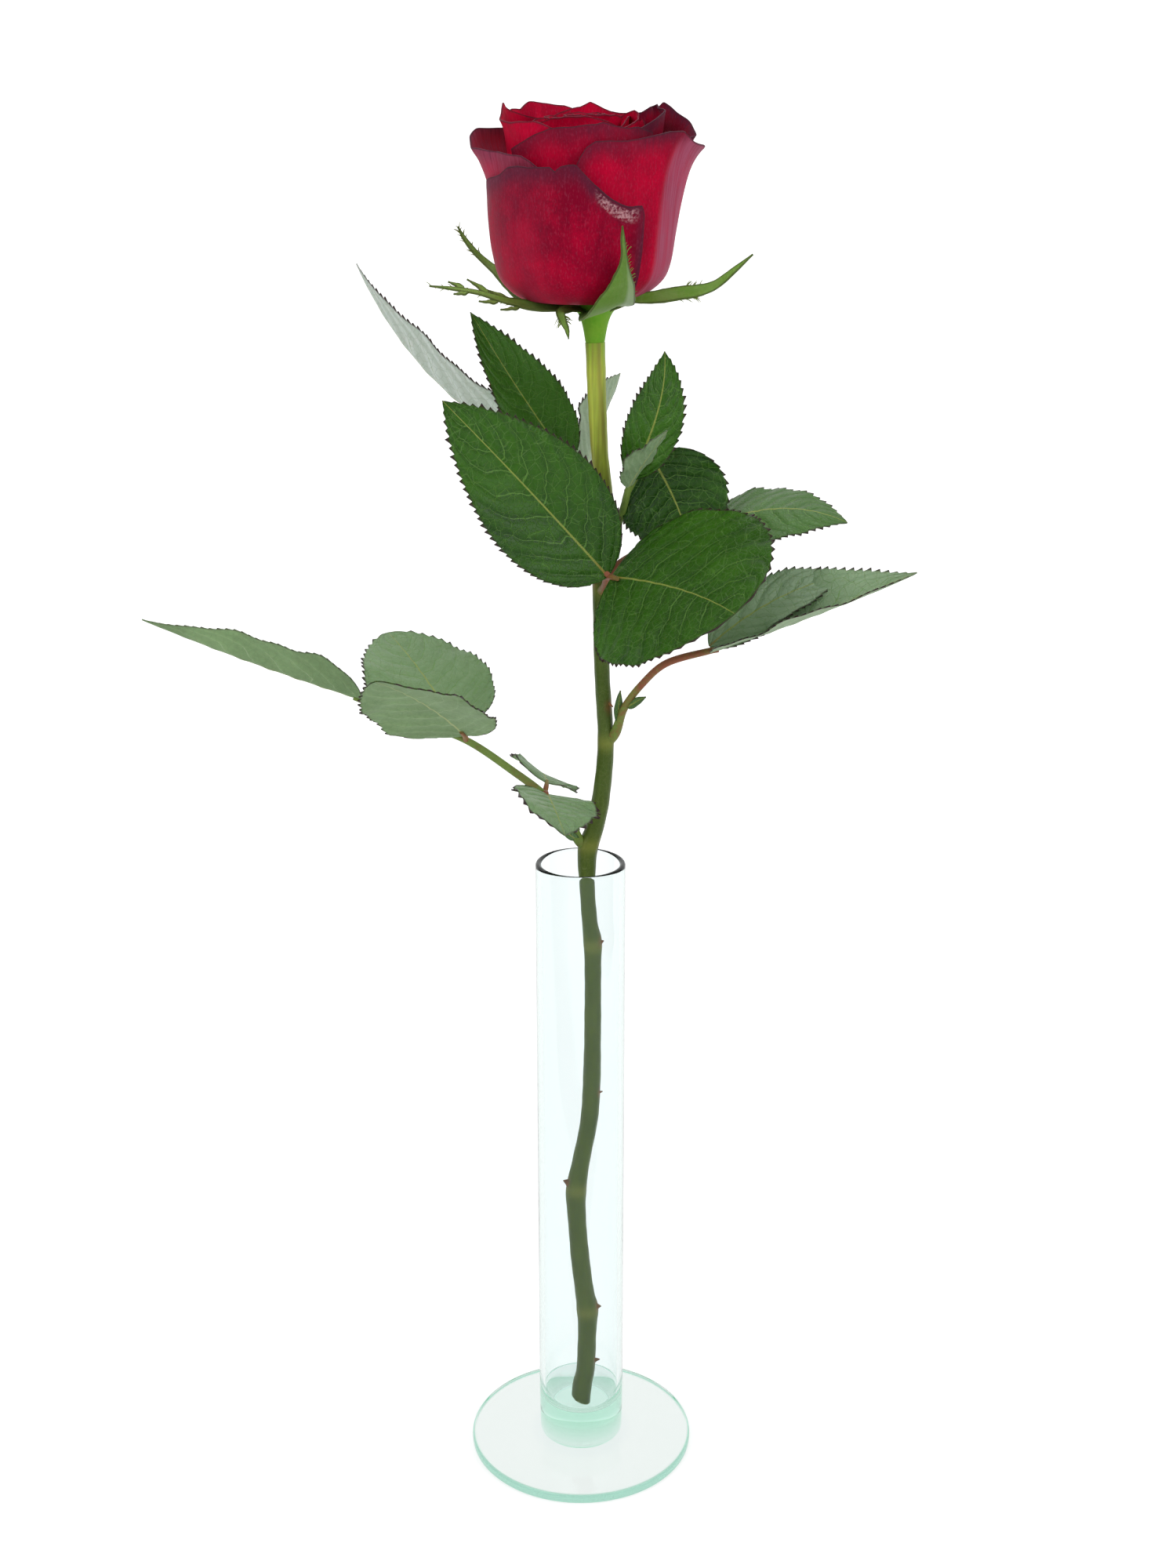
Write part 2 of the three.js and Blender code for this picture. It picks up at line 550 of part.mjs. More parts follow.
const LEAF_E = {
  stalks: [
    [[2.6, 8.4, 211, 2.0], [-0.4, 7.2, 213.5, 1.7], [-3.4, 5.2, 220, 1.4], [-11.2, 2, 230.3, 1.3],
      [-20, -1.2, 238.6, 1.2], [-34.5, -6, 250.4, 1.1], [-50, -9.4, 257.2, 0.9], [-67, -12.4, 265.4, 0.7]],
    [[-34.5, -6, 250.4, 1.0], [-37.2, -4.0, 252.6, 0.8], [-39, -2, 254.6, 0.6]],
    [[-34.5, -6, 250.4, 1.0], [-36.6, -9.0, 253.0, 0.8], [-38, -12, 255, 0.6]],
    [[-11.2, 2, 230.3, 0.9], [-10.6, -0.8, 232, 0.8], [-10.2, -3.6, 232.4, 0.6]],
    [[-11.2, 2, 230.3, 0.9], [-10.6, 4.8, 232, 0.8], [-10.4, 7.6, 233, 0.6]],
  ],
  blades: [
    { base: [-64.5, -12, 264.6], middle: [-95, -16, 276.6], tip: [-126.3, -20, 290.9], up: [0.33, 0.15, 0.93],
      width: 13, fold: 30, teeth: 8 },
    { base: [-37.6, -3, 253.2], middle: [-48, 12, 265], tip: [-60.5, 29, 275], up: [0.27, -0.41, 0.88],
      width: 20.5, outline: [0.5, 0.7], fold: 5 },
    { base: [-36.4, -9.4, 253.2], middle: [-46, -26, 266.5], tip: [-55, -43, 281], up: [0.11, 0.6, 0.8],
      width: 21, outline: [0.5, 0.7], fold: -10 },
    { base: [-10.2, -3, 232.2], middle: [-7.5, -15, 230.6], tip: [-4.6, -27, 227.4], up: [0.37, -0.15, 0.93],
      width: 12, teeth: 6 },
    { base: [-10.4, 7, 232.6], middle: [-12, 19, 231.6], tip: [-12.5, 33, 226], up: [0.56, 0.22, 0.8],
      width: 11.5, fold: 6, teeth: 6 },
  ],
  stipules: [
    { base: [-0.6, 6.6, 214], middle: [-4.2, 3.4, 218], tip: [-7.4, 1.0, 224.5], up: [-0.4, -0.9, 0],
      width: 1.8 },
    { base: [-1.2, 7.6, 215], middle: [-2.4, 6.6, 221], tip: [-5.2, 5.4, 228], up: [0.6, 0.7, 0.2],
      width: 1.6 },
  ],
};

function leaf({ stalks, blades, stipules = [] }) {
  const whole = fuse([
    ...stalks.map((route) => rod(route, STALK_SIDES, 2 * (route.length - 1))),
    ...blades.map((spec) => blade(spec)),
    ...stipules.map((spec) => blade({ teeth: 2, tooth: 0, wave: 0, fold: 10, ...spec })),
  ]);
  return whole.subtract(stemRoom);
}

// ---------------------------------------------------------------- the model

function finish(name, geometry, colour, roughness, extra = {}) {
  const material = new THREE.MeshStandardMaterial({ color: colour, roughness, metalness: 0, ...extra });
  const mesh = new THREE.Mesh(geometry, material);
  mesh.name = name;
  return mesh;
}

const rose = new THREE.Group();
rose.add(finish('vase_foot', vaseFoot(), COLOURS.glass, 0.05, { transparent: true, opacity: 0.35 }));
rose.add(finish('vase_tube', vaseTube(), COLOURS.glass, 0.05, { transparent: true, opacity: 0.35 }));
rose.add(finish('stem', toGeometry(stem()), COLOURS.stem, 0.55));
rose.add(finish('calyx', toGeometry(calyx()), COLOURS.calyx, 0.6));
rose.add(finish('bloom', toGeometry(bloom()), COLOURS.petal, 0.7));
rose.add(finish('leaf_a', toGeometry(leaf(LEAF_A)), COLOURS.leafDark, 0.5));
rose.add(finish('leaf_b', toGeometry(leaf(LEAF_B)), COLOURS.leafDark, 0.5));
rose.add(finish('leaf_c', toGeometry(leaf(LEAF_C)), COLOURS.leafPale, 0.6));
rose.add(finish('leaf_d', toGeometry(leaf(LEAF_D)), COLOURS.leafMid, 0.5));
rose.add(finish('leaf_e', toGeometry(leaf(LEAF_E)), COLOURS.leafMid, 0.5));

export default rose;
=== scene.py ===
"""A red rose in a clear glass bud vase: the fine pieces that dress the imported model.

Tables and shapes are in millimetres, +Z up, with the front towards -Y, as in the part itself.
"""

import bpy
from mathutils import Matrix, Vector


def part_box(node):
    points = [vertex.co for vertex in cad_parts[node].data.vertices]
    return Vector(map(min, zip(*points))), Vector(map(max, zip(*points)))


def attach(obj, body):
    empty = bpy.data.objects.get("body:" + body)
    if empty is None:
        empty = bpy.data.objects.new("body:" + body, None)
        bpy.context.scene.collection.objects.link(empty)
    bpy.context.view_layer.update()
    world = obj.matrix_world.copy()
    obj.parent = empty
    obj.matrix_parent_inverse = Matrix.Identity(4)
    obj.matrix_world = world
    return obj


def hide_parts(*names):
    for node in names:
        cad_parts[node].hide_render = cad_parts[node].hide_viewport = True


bl_info = {
    "name": "Rose in a Bud Vase",
    "version": (1, 0, 0),
    "blender": (4, 5, 0),
    "location": "3D View > Sidebar > Rose",
    "description": "Builds a red rose with toothed leaves in a glass bud vase, piece by piece",
    "category": "Add Mesh",
}

import math

import bpy
import numpy as np
from bpy.props import FloatProperty, FloatVectorProperty, IntProperty, PointerProperty
from mathutils import Vector

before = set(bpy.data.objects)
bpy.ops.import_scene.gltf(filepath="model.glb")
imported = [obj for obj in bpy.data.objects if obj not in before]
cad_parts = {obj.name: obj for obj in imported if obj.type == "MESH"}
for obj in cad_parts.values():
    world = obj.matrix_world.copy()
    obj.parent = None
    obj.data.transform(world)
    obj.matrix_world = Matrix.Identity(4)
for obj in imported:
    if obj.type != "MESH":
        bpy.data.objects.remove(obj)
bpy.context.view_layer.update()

MM = 0.001
WELD_REACH = 0.001                # points nearer than this, in millimetres, are one point
BODY = "root"
FOOT_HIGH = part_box("vase_foot")[1]

# ---------------------------------------------------------------- the part's own values, in mm

FOOT_EDGE = 1.1
HEEL_RADIUS = 2.2
HEEL_INSET = 2.3                  # how far inside the tube's wall the heel's arc has its centre
BORE_FLOOR = 16
BORE_CORNER = 5

CUT_SLANT = 0.49                  # radians; the stem's cut end rises to the left
CUT_TIP = 2.6
CUT_GAP = 0.3                     # the cut end's height above the vase's inner bottom

STEM_TOP = 0.37                   # metres; the stem's colours run from the table to here
HIP_FOOT = 366.3
HIP_TOP = 377.8
BLOOM_BASE = 379.5                # height that the petals' profiles are measured from
BLOOM_AXIS = (1.5, 14.8)
GOLDEN_TURN = 137.5

# The stem's route from its cut end to the hip: x, y, z, radius.
STEM_ROUTE = [
    (-0.5, -4.2, 13.5, 3.2), (0.4, -3.6, 23, 3.2), (1.5, -3.1, 29, 3.1), (2.0, -2.2, 42, 3.1),
    (2.1, -1.6, 51, 3.5), (1.2, -1.2, 57, 3.2), (-0.4, -0.4, 71, 3.1), (-1.4, 0.5, 85, 3.1),
    (-1.6, 1.1, 94, 3.4), (0.0, 1.9, 104, 2.9), (2.6, 2.8, 118, 2.9), (3.5, 3.6, 130, 3.0),
    (3.9, 4.6, 149, 2.8), (4.0, 6.2, 173, 2.8), (3.9, 6.6, 180, 3.1), (3.0, 7.0, 186, 2.6),
    (2.1, 7.6, 199, 2.6), (2.2, 8.2, 210, 3.1), (4.3, 8.8, 217, 2.9), (6.5, 9.5, 228, 2.8),
    (7.8, 10.3, 245, 2.5), (6.6, 11.4, 268, 2.4), (6.2, 12.8, 296, 2.5), (7.1, 13.5, 318, 2.7),
    (5.8, 13.9, 334, 2.6), (5.0, 14.3, 349, 2.8), (4.6, 14.7, 361, 2.9), (4.4, 14.8, 365.9, 3.0),
]

# Buds, scars and prickles on the stem: root, tip, radius.
STEM_SPIKES = [
    ((3.2, -1.6, 51), (6.6, -2.4, 52.5), 1.8),
    ((-2.0, 1.2, 95), (-5.8, 0.4, 98), 2.0),
    ((4.4, 6.5, 178), (7.6, 5.8, 180.5), 1.6),
    ((3.4, -2.6, 31), (6.2, -3.2, 32.5), 1.0),
    ((3.6, 3.4, 127), (7.2, 3.0, 129), 0.9),
    ((5.2, 12.6, 296), (2.3, 10.9, 294.6), 1.0),
    ((6.8, 10.9, 258), (10.0, 8.6, 256.6), 1.0),
]

# A blade's side veins: how many pairs, how far they lean and bow towards the tip as a share of its
# length, and how far the left ones stand ahead of the right ones.
VEIN_PAIRS = 8.0
VEIN_SLANT = 0.19
VEIN_BOW = 0.13
VEIN_STAGGER = 0.25

# Heights where a leaf or a bud grows: the skin is paler and a little swollen there.
STEM_NODES = [51, 95, 179, 212, 245, 293, 307, 319]

# ---------------------------------------------------------------- building meshes


def select_only(*objects):
    """Deselects everything, then selects these objects and makes the first one active."""
    bpy.ops.object.select_all(action="DESELECT")
    for obj in objects:
        obj.select_set(True)
    bpy.context.view_layer.objects.active = objects[0]


def set_values(obj, values):
    """Keeps named values on an object's points, for its materials to read."""
    for key, value in values.items():
        attribute = obj.data.attributes.new(key, "FLOAT", "POINT")
        attribute.data.foreach_set("value", value.astype(np.float32).ravel())


def plain_values(shape, tone):
    """Values of a piece with no margin of its own: far from any edge, and its tone."""
    return {"edge_mm": np.full(shape, 9.0), "half_mm": np.full(shape, 1.0),
            "tone": np.broadcast_to(tone, shape)}


def grid_piece(name, places, values=None):
    """Adds a grid and moves its points to places, rows of points in millimetres.

    The grid's UV map keeps how far across and along each point is; values become attributes.
    """
    rows, columns = places.shape[:2]
    bpy.ops.object.select_all(action="DESELECT")
    bpy.ops.mesh.primitive_grid_add(x_subdivisions=columns - 1, y_subdivisions=rows - 1, size=1)
    obj = bpy.context.object
    obj.name = name
    obj.data.name = name
    obj.data.vertices.foreach_set("co", (places * MM).astype(np.float32).ravel())
    set_values(obj, values or {})
    obj.data.update()
    return obj


def edit(obj, *steps):
    """Runs operators on all of an object's mesh in edit mode; each step is (operator, settings)."""
    select_only(obj)
    bpy.ops.object.mode_set(mode="EDIT")
    bpy.ops.mesh.select_all(action="SELECT")
    for operator, settings in steps:
        operator(**settings)
    bpy.ops.object.mode_set(mode="OBJECT")
    return obj


def weld(obj):
    """Merges points that lie together, which closes a wrapped grid's seam and its poles."""
    return edit(obj, (bpy.ops.mesh.remove_doubles, {"threshold": WELD_REACH * MM}))


def modify(obj, kind, **settings):
    """Adds one modifier and applies it."""
    select_only(obj)
    modifier = obj.modifiers.new(kind.title(), kind)
    for key, value in settings.items():
        setattr(modifier, key, value)
    bpy.ops.object.modifier_apply(modifier=modifier.name)
    return obj


def thicken(obj, thickness):
    """Turns a sheet into a closed solid round its own surface, its underside in the second slot."""
    return modify(
        obj, "SOLIDIFY", thickness=thickness * MM, offset=0, use_rim=True,
        material_offset=1, material_offset_rim=0,
    )


def smooth(obj, angle=35):
    """Shades an object smooth, with edges sharper than the angle left crisp."""
    select_only(obj)
    bpy.ops.object.shade_smooth_by_angle(angle=math.radians(angle))
    return obj


def join(name, objects):
    """Joins objects into one named piece."""
    select_only(*objects)
    if len(objects) > 1:
        bpy.ops.object.join()
    objects[0].name = name
    objects[0].data.name = name
    return objects[0]


def paint(obj, *materials):
    """Gives an object these material slots."""
    obj.data.materials.clear()
    for material in materials:
        obj.data.materials.append(material)
    return obj


def place(obj, slot, *replaced):
    """Sets a finished piece on the body: it rides on the body and stands for the CAD nodes, which are
    hidden.
    """
    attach(obj, BODY)
    if replaced:
        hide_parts(*replaced)
    return obj


# ---------------------------------------------------------------- curves and shares


def unit(vectors):
    """Vectors of length one, along the last axis."""
    return vectors / np.maximum(np.linalg.norm(vectors, axis=-1, keepdims=True), 1e-9)


def ease(low, high, value):
    """Smooth step from 0 at low to 1 at high."""
    share = np.clip((value - low) / (high - low), 0, 1)
    return share * share * (3 - 2 * share)


def between(low, high, soft, value):
    """1 between two values, fading to 0 over a soft margin inside each of them."""
    return ease(low, low + soft, value) * ease(high, high - soft, value)


def smoothed(values, reach):
    """Each value averaged with its neighbours, as many as the reach to each side."""
    count = 2 * reach + 1
    return np.convolve(np.pad(values, reach, mode="edge"), np.ones(count) / count, mode="valid")


def spline(points, shares):
    """Points of a smooth curve through a list of points, at shares 0 to 1 of its knots."""
    points = np.array(points, float)
    last = len(points) - 1
    padded = np.vstack([2 * points[0] - points[1], points, 2 * points[-1] - points[-2]])
    place_on = np.clip(np.asarray(shares, float), 0, 1) * last
    knot = np.minimum(place_on.astype(int), last - 1)
    t = (place_on - knot)[:, None]
    a, b, c, d = (padded[knot + k] for k in range(4))
    return 0.5 * (2 * b + (c - a) * t + (2 * a - 5 * b + 4 * c - d) * t**2
                  + (3 * b - a - 3 * c + d) * t**3)


def tube_places(route, sides, steps, radius=None):
    """Rows of points round a smooth route of x, y, z, radius, closed to a point at both ends."""
    shares = np.linspace(0, 1, steps + 1)
    line = spline(route, shares)
    centre = line[:, :3]
    size = line[:, 3] if radius is None else radius(centre, line[:, 3])
    tangent = unit(np.gradient(centre, axis=0))
    angle = np.linspace(0, 2 * math.pi, sides + 1)
    normal = np.array([0.31, 0.95, 0.02])
    rows = [np.repeat(centre[:1], sides + 1, axis=0)]
    for middle, along, reach in zip(centre, tangent, size):
        normal = unit(normal - along * normal.dot(along))
        side = np.cross(along, normal)
        ring = np.outer(np.cos(angle), normal) + np.outer(np.sin(angle), side)
        rows.append(middle + reach * ring)
    rows.append(np.repeat(centre[-1:], sides + 1, axis=0))
    return np.array(rows)


def bent_spike(root, tip, rise, radii, sides, steps):
    """Rows of points of a thin spike that bends upwards a little, with three radii along it."""
    root = np.array(root, float)
    tip = np.array(tip, float)
    middle = (root + tip) / 2 + np.array([0, 0, rise])
    route = [(*point, radius) for point, radius in zip((root, middle, tip), radii)]
    return tube_places(route, sides, steps)


def turned_piece(name, profile, segments, x=0, y=0):
    """Spins a closed profile of radius and height in millimetres about an upright axis."""
    mesh = bpy.data.meshes.new(name)
    points = [(x * MM + radius * MM, y * MM, height * MM) for radius, height in profile]
    mesh.from_pydata(points, [(k, k + 1) for k in range(len(points) - 1)], [])
    obj = bpy.data.objects.new(name, mesh)
    bpy.context.scene.collection.objects.link(obj)
    return edit(
        obj,
        (bpy.ops.mesh.spin, {
            "steps": segments, "angle": 2 * math.pi,
            "center": (x * MM, y * MM, 0), "axis": (0, 0, 1),
        }),
        (bpy.ops.mesh.select_all, {"action": "SELECT"}),
        (bpy.ops.mesh.remove_doubles, {"threshold": 1e-6}),
        (bpy.ops.mesh.normals_make_consistent, {"inside": False}),
    )


def arc(radius, height, size, start, end, steps):
    """Points of an arc in a profile, from one angle to another, in degrees."""
    angles = np.radians(np.linspace(start, end, steps + 1))
    return [(radius + size * math.cos(a), height + size * math.sin(a)) for a in angles]


# ---------------------------------------------------------------- building materials


def opaque(colour):
    """A plain colour with full alpha; a node's socket stays as it is."""
    return colour if isinstance(colour, bpy.types.NodeSocket) else (*colour, 1)


def shaded(colour, factor):
    """A plain colour made darker or lighter."""
    return [channel * factor for channel in colour]


class Nodes:
    """Adds the nodes of one tree and links them as they are added."""

    def __init__(self, tree):
        self.tree = tree

    def feed(self, socket, value):
        """Links another node's socket to a socket, or sets its plain value."""
        if isinstance(value, bpy.types.NodeSocket):
            self.tree.links.new(value, socket)
        else:
            socket.default_value = value

    def add(self, kind, inputs=None, **settings):
        """Adds one node; an input's value is another node's socket or a plain value."""
        node = self.tree.nodes.new(kind)
        for key, value in settings.items():
            setattr(node, key, value)
        for key, value in (inputs or {}).items():
            self.feed(node.inputs[key], value)
        return node

    def math(self, operation, *values, clamp=False):
        """One step of arithmetic."""
        inputs = dict(enumerate(values))
        return self.add("ShaderNodeMath", inputs, operation=operation, use_clamp=clamp).outputs[0]

    def times(self, first, second, clamp=False):
        """One value times another."""
        return self.math("MULTIPLY", first, second, clamp=clamp)

    def scaled(self, value, factor, offset):
        """A value times a factor, plus an offset."""
        return self.math("MULTIPLY_ADD", value, factor, offset)

    def fade(self, value, low, high, start=0.0, end=1.0):
        """Maps a value smoothly from low..high to start..end."""
        inputs = {0: value, 1: low, 2: high, 3: start, 4: end}
        node = self.add("ShaderNodeMapRange", inputs, interpolation_type="SMOOTHSTEP")
        return node.outputs[0]

    def layers(self, colour, *coats):
        """Lays coats of (share, colour) over a first colour, one after another."""
        for share, coat in coats:
            inputs = {0: share, 6: opaque(colour), 7: opaque(coat)}
            colour = self.add("ShaderNodeMix", inputs, data_type="RGBA").outputs[2]
        return colour

    def noise(self, vector, scale, detail=3.0, roughness=0.5, distortion=0.0):
        """Value noise, 0 to 1."""
        inputs = {"Vector": vector, "Scale": scale, "Detail": detail, "Roughness": roughness,
                  "Distortion": distortion}
        return self.add("ShaderNodeTexNoise", inputs).outputs[0]

    def stretched_noise(self, vector, scales, detail):
        """Value noise with its own scale along each axis."""
        mapping = self.add("ShaderNodeMapping", {"Vector": vector, "Scale": scales})
        return self.noise(mapping.outputs[0], 1.0, detail)

    def edges(self, vector, scale, width):
        """A net of thin lines round cells, 1 on the lines."""
        inputs = {"Vector": vector, "Scale": scale}
        cells = self.add("ShaderNodeTexVoronoi", inputs, feature="DISTANCE_TO_EDGE").outputs[0]
        return self.fade(cells, 0.0, width, 1.0, 0.0)

    def split(self, vector):
        """The three parts of a vector."""
        return self.add("ShaderNodeSeparateXYZ", {0: vector}).outputs

    def vector(self, *values):
        """A vector from up to three values."""
        return self.add("ShaderNodeCombineXYZ", dict(enumerate(values))).outputs[0]

    def length(self, vector):
        """How long a vector is."""
        return self.add("ShaderNodeVectorMath", {0: vector}, operation="LENGTH").outputs["Value"]

    def attribute(self, name):
        """The value that the mesh code left under a name."""
        return self.add("ShaderNodeAttribute", attribute_name=name).outputs["Fac"]

    def uv(self):
        """The piece's own UV map."""
        return self.add("ShaderNodeUVMap").outputs[0]

    def group(self, tree, **inputs):
        """Places a node group; names with spaces are given with underscores."""
        node = self.add("ShaderNodeGroup", node_tree=tree)
        for key, value in inputs.items():
            self.feed(node.inputs[key.replace("_", " ")], value)
        return node.outputs

    def mottled(self, slow, fine):
        """The object's coordinates, and soft uneven colour at two scales."""
        where = self.add("ShaderNodeTexCoord").outputs["Object"]
        return where, self.group(mottle_group(), Vector=where, Slow_Scale=slow, Fine_Scale=fine)[0]


def new_material(name, **values):
    """A node material with these values on its Principled BSDF; returns it, its nodes, the shader."""
    material = bpy.data.materials.new(name)
    material.use_nodes = True
    tree = material.node_tree
    shader = tree.nodes["Principled BSDF"]
    for key, value in values.items():
        shader.inputs[key.replace("_", " ")].default_value = value
    return material, Nodes(tree), shader


def node_group(name, inputs, outputs, fill):
    """A shader node group made once: plain inputs with defaults, value outputs, and its filling."""
    found = bpy.data.node_groups.get(name)
    if found:
        return found
    tree = bpy.data.node_groups.new(name, "ShaderNodeTree")
    for socket, default in inputs.items():
        kind = "NodeSocketVector" if default is None else "NodeSocketFloat"
        made = tree.interface.new_socket(socket, in_out="INPUT", socket_type=kind)
        if default is not None:
            made.default_value = default
    for socket in outputs:
        tree.interface.new_socket(socket, in_out="OUTPUT", socket_type="NodeSocketFloat")
    nodes = Nodes(tree)
    values = fill(nodes, nodes.add("NodeGroupInput").outputs)
    ends = nodes.add("NodeGroupOutput").inputs
    for socket, value in zip(outputs, values):
        nodes.feed(ends[socket], value)
    return tree


def wire(nodes, shader, colour, roughness=None, height=None, bump=0.3, distance=0.2):
    """Feeds colour, roughness and a height, in millimetres of relief, to the shader."""
    nodes.feed(shader.inputs["Base Color"], colour)
    if roughness is not None:
        nodes.feed(shader.inputs["Roughness"], roughness)
    if height is not None:
        inputs = {"Strength": bump, "Distance": distance * MM, "Height": height}
        nodes.feed(shader.inputs["Normal"], nodes.add("ShaderNodeBump", inputs).outputs[0])


def mottle_group():
    """Soft uneven colour: a slow and a fine noise mixed, 0 to 1."""
    def fill(nodes, given):
        slow = nodes.noise(given["Vector"], given["Slow Scale"], 2.0)
        fine = nodes.noise(given["Vector"], given["Fine Scale"], 3.0)
        total = nodes.math("ADD", nodes.times(slow, 0.65), nodes.times(fine, 0.35))
        return [nodes.fade(total, 0.32, 0.68)]

    inputs = {"Vector": None, "Slow Scale": 60.0, "Fine Scale": 900.0}
    return node_group("Mottle", inputs, ["Value"], fill)


def vein_group():
    """Side veins and the rib of a blade, from its UV map: across 0 to 1, along 0 to 1."""
    def fill(nodes, given):
        split = nodes.split(given["UV"])
        signed = nodes.scaled(split[0], 2.0, -1.0)
        across = nodes.math("ABSOLUTE", signed)
        sway = nodes.scaled(nodes.noise(given["UV"], 6.0, 2.0), 0.1, -0.05)
        lean = nodes.times(across, given["Slant"])
        bow = nodes.times(nodes.math("POWER", across, 3.0), VEIN_BOW)
        along = nodes.math("SUBTRACT", nodes.math("SUBTRACT", split[1], lean), bow)
        stagger = nodes.times(nodes.math("SIGN", signed), VEIN_STAGGER)
        phase = nodes.times(nodes.math("ADD", along, sway), given["Pairs"])
        phase = nodes.math("FRACT", nodes.math("ADD", phase, stagger))
        off = nodes.math("ABSOLUTE", nodes.math("SUBTRACT", phase, 0.5))
        reach = nodes.times(given["Line"], nodes.scaled(across, -0.6, 1.0))
        line = nodes.fade(nodes.math("DIVIDE", off, reach), 0.3, 1.2, 1.0, 0.0)
        vein = nodes.times(line, nodes.fade(across, 0.62, 0.98, 1.0, 0.0))
        from_rib = nodes.times(across, given["Half Width"])
        taper = nodes.scaled(split[1], -0.75, 1.0)
        rib = nodes.fade(nodes.math("DIVIDE", from_rib, taper), 0.15, 0.55, 1.0, 0.0)
        return vein, rib, nodes.fade(off, 0.0, 0.34)

    inputs = {"UV": None, "Pairs": VEIN_PAIRS, "Slant": VEIN_SLANT, "Half Width": 16.0,
              "Line": 0.035}
    return node_group("Leaf Veins", inputs, ["Vein", "Rib", "Swell"], fill)


def streak_group():
    """Fine streaks that run from a petal's root to its rim, from its UV map."""
    def fill(nodes, given):
        split = nodes.split(given["UV"])
        long = nodes.vector(nodes.times(split[0], given["Count"]), nodes.times(split[1], 2.5))
        wide = nodes.vector(nodes.times(split[0], 6.0), nodes.times(split[1], 2.2))
        fine = nodes.noise(long, 1.0, 4.0, 0.6)
        broad = nodes.noise(wide, 1.0, 2.0, 0.5, 0.6)
        return nodes.fade(fine, 0.3, 0.7), nodes.fade(broad, 0.35, 0.68)

    return node_group("Petal Streaks", {"UV": None, "Count": 60.0}, ["Streak", "Broad"], fill)


# ---------------------------------------------------------------- settings


def size(name, description, default):
    """A length setting in metres."""
    return FloatProperty(name=name, description=description, default=default, min=0.0,
                         subtype="DISTANCE", unit="LENGTH")


def tint(name, description, default):
    """A colour setting, linear red, green and blue."""
    return FloatVectorProperty(name=name, description=description, default=default, size=3,
                               min=0.0, max=1.0, subtype="COLOR")


class VaseSettings(bpy.types.PropertyGroup):
    """The glass vase."""

    foot_radius: size("Foot Radius", "Radius of the round foot", FOOT_HIGH.x)
    foot_thickness: size("Foot Thickness", "Thickness of the foot's disc", FOOT_HIGH.z)
    tube_radius: size("Tube Radius", "Outer radius of the tube", 0.014)
    tube_bore: size("Tube Bore", "Inner radius of the tube", 0.0122)
    height: size("Height", "Height of the rim above the table", 0.209)
    segments: IntProperty(name="Segments", description="Faces round the tube", default=128, min=24)
    clear: tint("Glass", "Tint that the glass gives at its surface", (0.955, 0.974, 0.985))
    # The foot's whiter tint is painted light: it makes the foot's glass brighter.
    plate: tint("Foot Glass", "Tint at the surface of the foot", (0.99, 1.0, 1.0))
    depth: tint("Thick Glass", "Tint that thick glass takes on", (0.32, 0.86, 0.62))


class StemSettings(bpy.types.PropertyGroup):
    """The stem and its buds."""

    sides: IntProperty(name="Sides", description="Faces round the stem", default=28, min=8)
    top: tint("Top Green", "Skin where the stem meets the hip", (0.2, 0.46, 0.012))
    fresh: tint("Fresh Green", "Skin just under the bloom", (0.62, 0.72, 0.09))
    green: tint("Green", "Skin halfway down", (0.06, 0.105, 0.006))
    old: tint("Old Green", "Skin low in the vase", (0.095, 0.14, 0.008))
    furrow: tint("Furrow", "Fine dark lines along the skin", (0.03, 0.06, 0.006))
    bloom: tint("Waxy Bloom", "Paler clouds on the skin", (0.42, 0.5, 0.2))
    blush: tint("Blush", "Reddish streaks under the bloom", (0.3, 0.17, 0.06))
    speck: tint("Specks", "Pale net on the skin", (0.45, 0.45, 0.25))
    knot: tint("Knot", "Skin where a leaf or a bud grows", (0.36, 0.38, 0.07))
    scar: tint("Scar", "Buds and scars", (0.3, 0.1, 0.045))
    pith: tint("Pith", "The cut face", (0.5, 0.55, 0.3))


class BloomSettings(bpy.types.PropertyGroup):
    """The petals."""

    thickness: size("Petal Thickness", "Thickness of a petal", 0.0004)
    # Bright and deep red are lit and shaded copies of one red; on the petals they carry painted light
    # and shade.
    bright: tint("Bright Red", "Lit face of a petal", (0.7, 0.0008, 0.04))
    deep: tint("Deep Red", "Shaded velvet", (0.25, 0.001, 0.022))
    # The dusky rim band is partly the petal's darker rim and partly painted grazing sheen.
    veil_and_painted_sheen: tint("Rim Veil", "Dusky band inside the rim", (0.13, 0.012, 0.035))
    line: tint("Rim Line", "Fine greyish line on the rim", (0.075, 0.025, 0.04))
    # Painted sheen: pinkish light on faces that turn away, and in fine flecks.
    dust: tint("Dust", "Pinkish bloom that catches the light", (0.45, 0.1, 0.18))
    # A painted highlight on the crest of a rolled rim.
    shine: tint("Shine", "Glint on a rolled rim", (0.75, 0.42, 0.45))


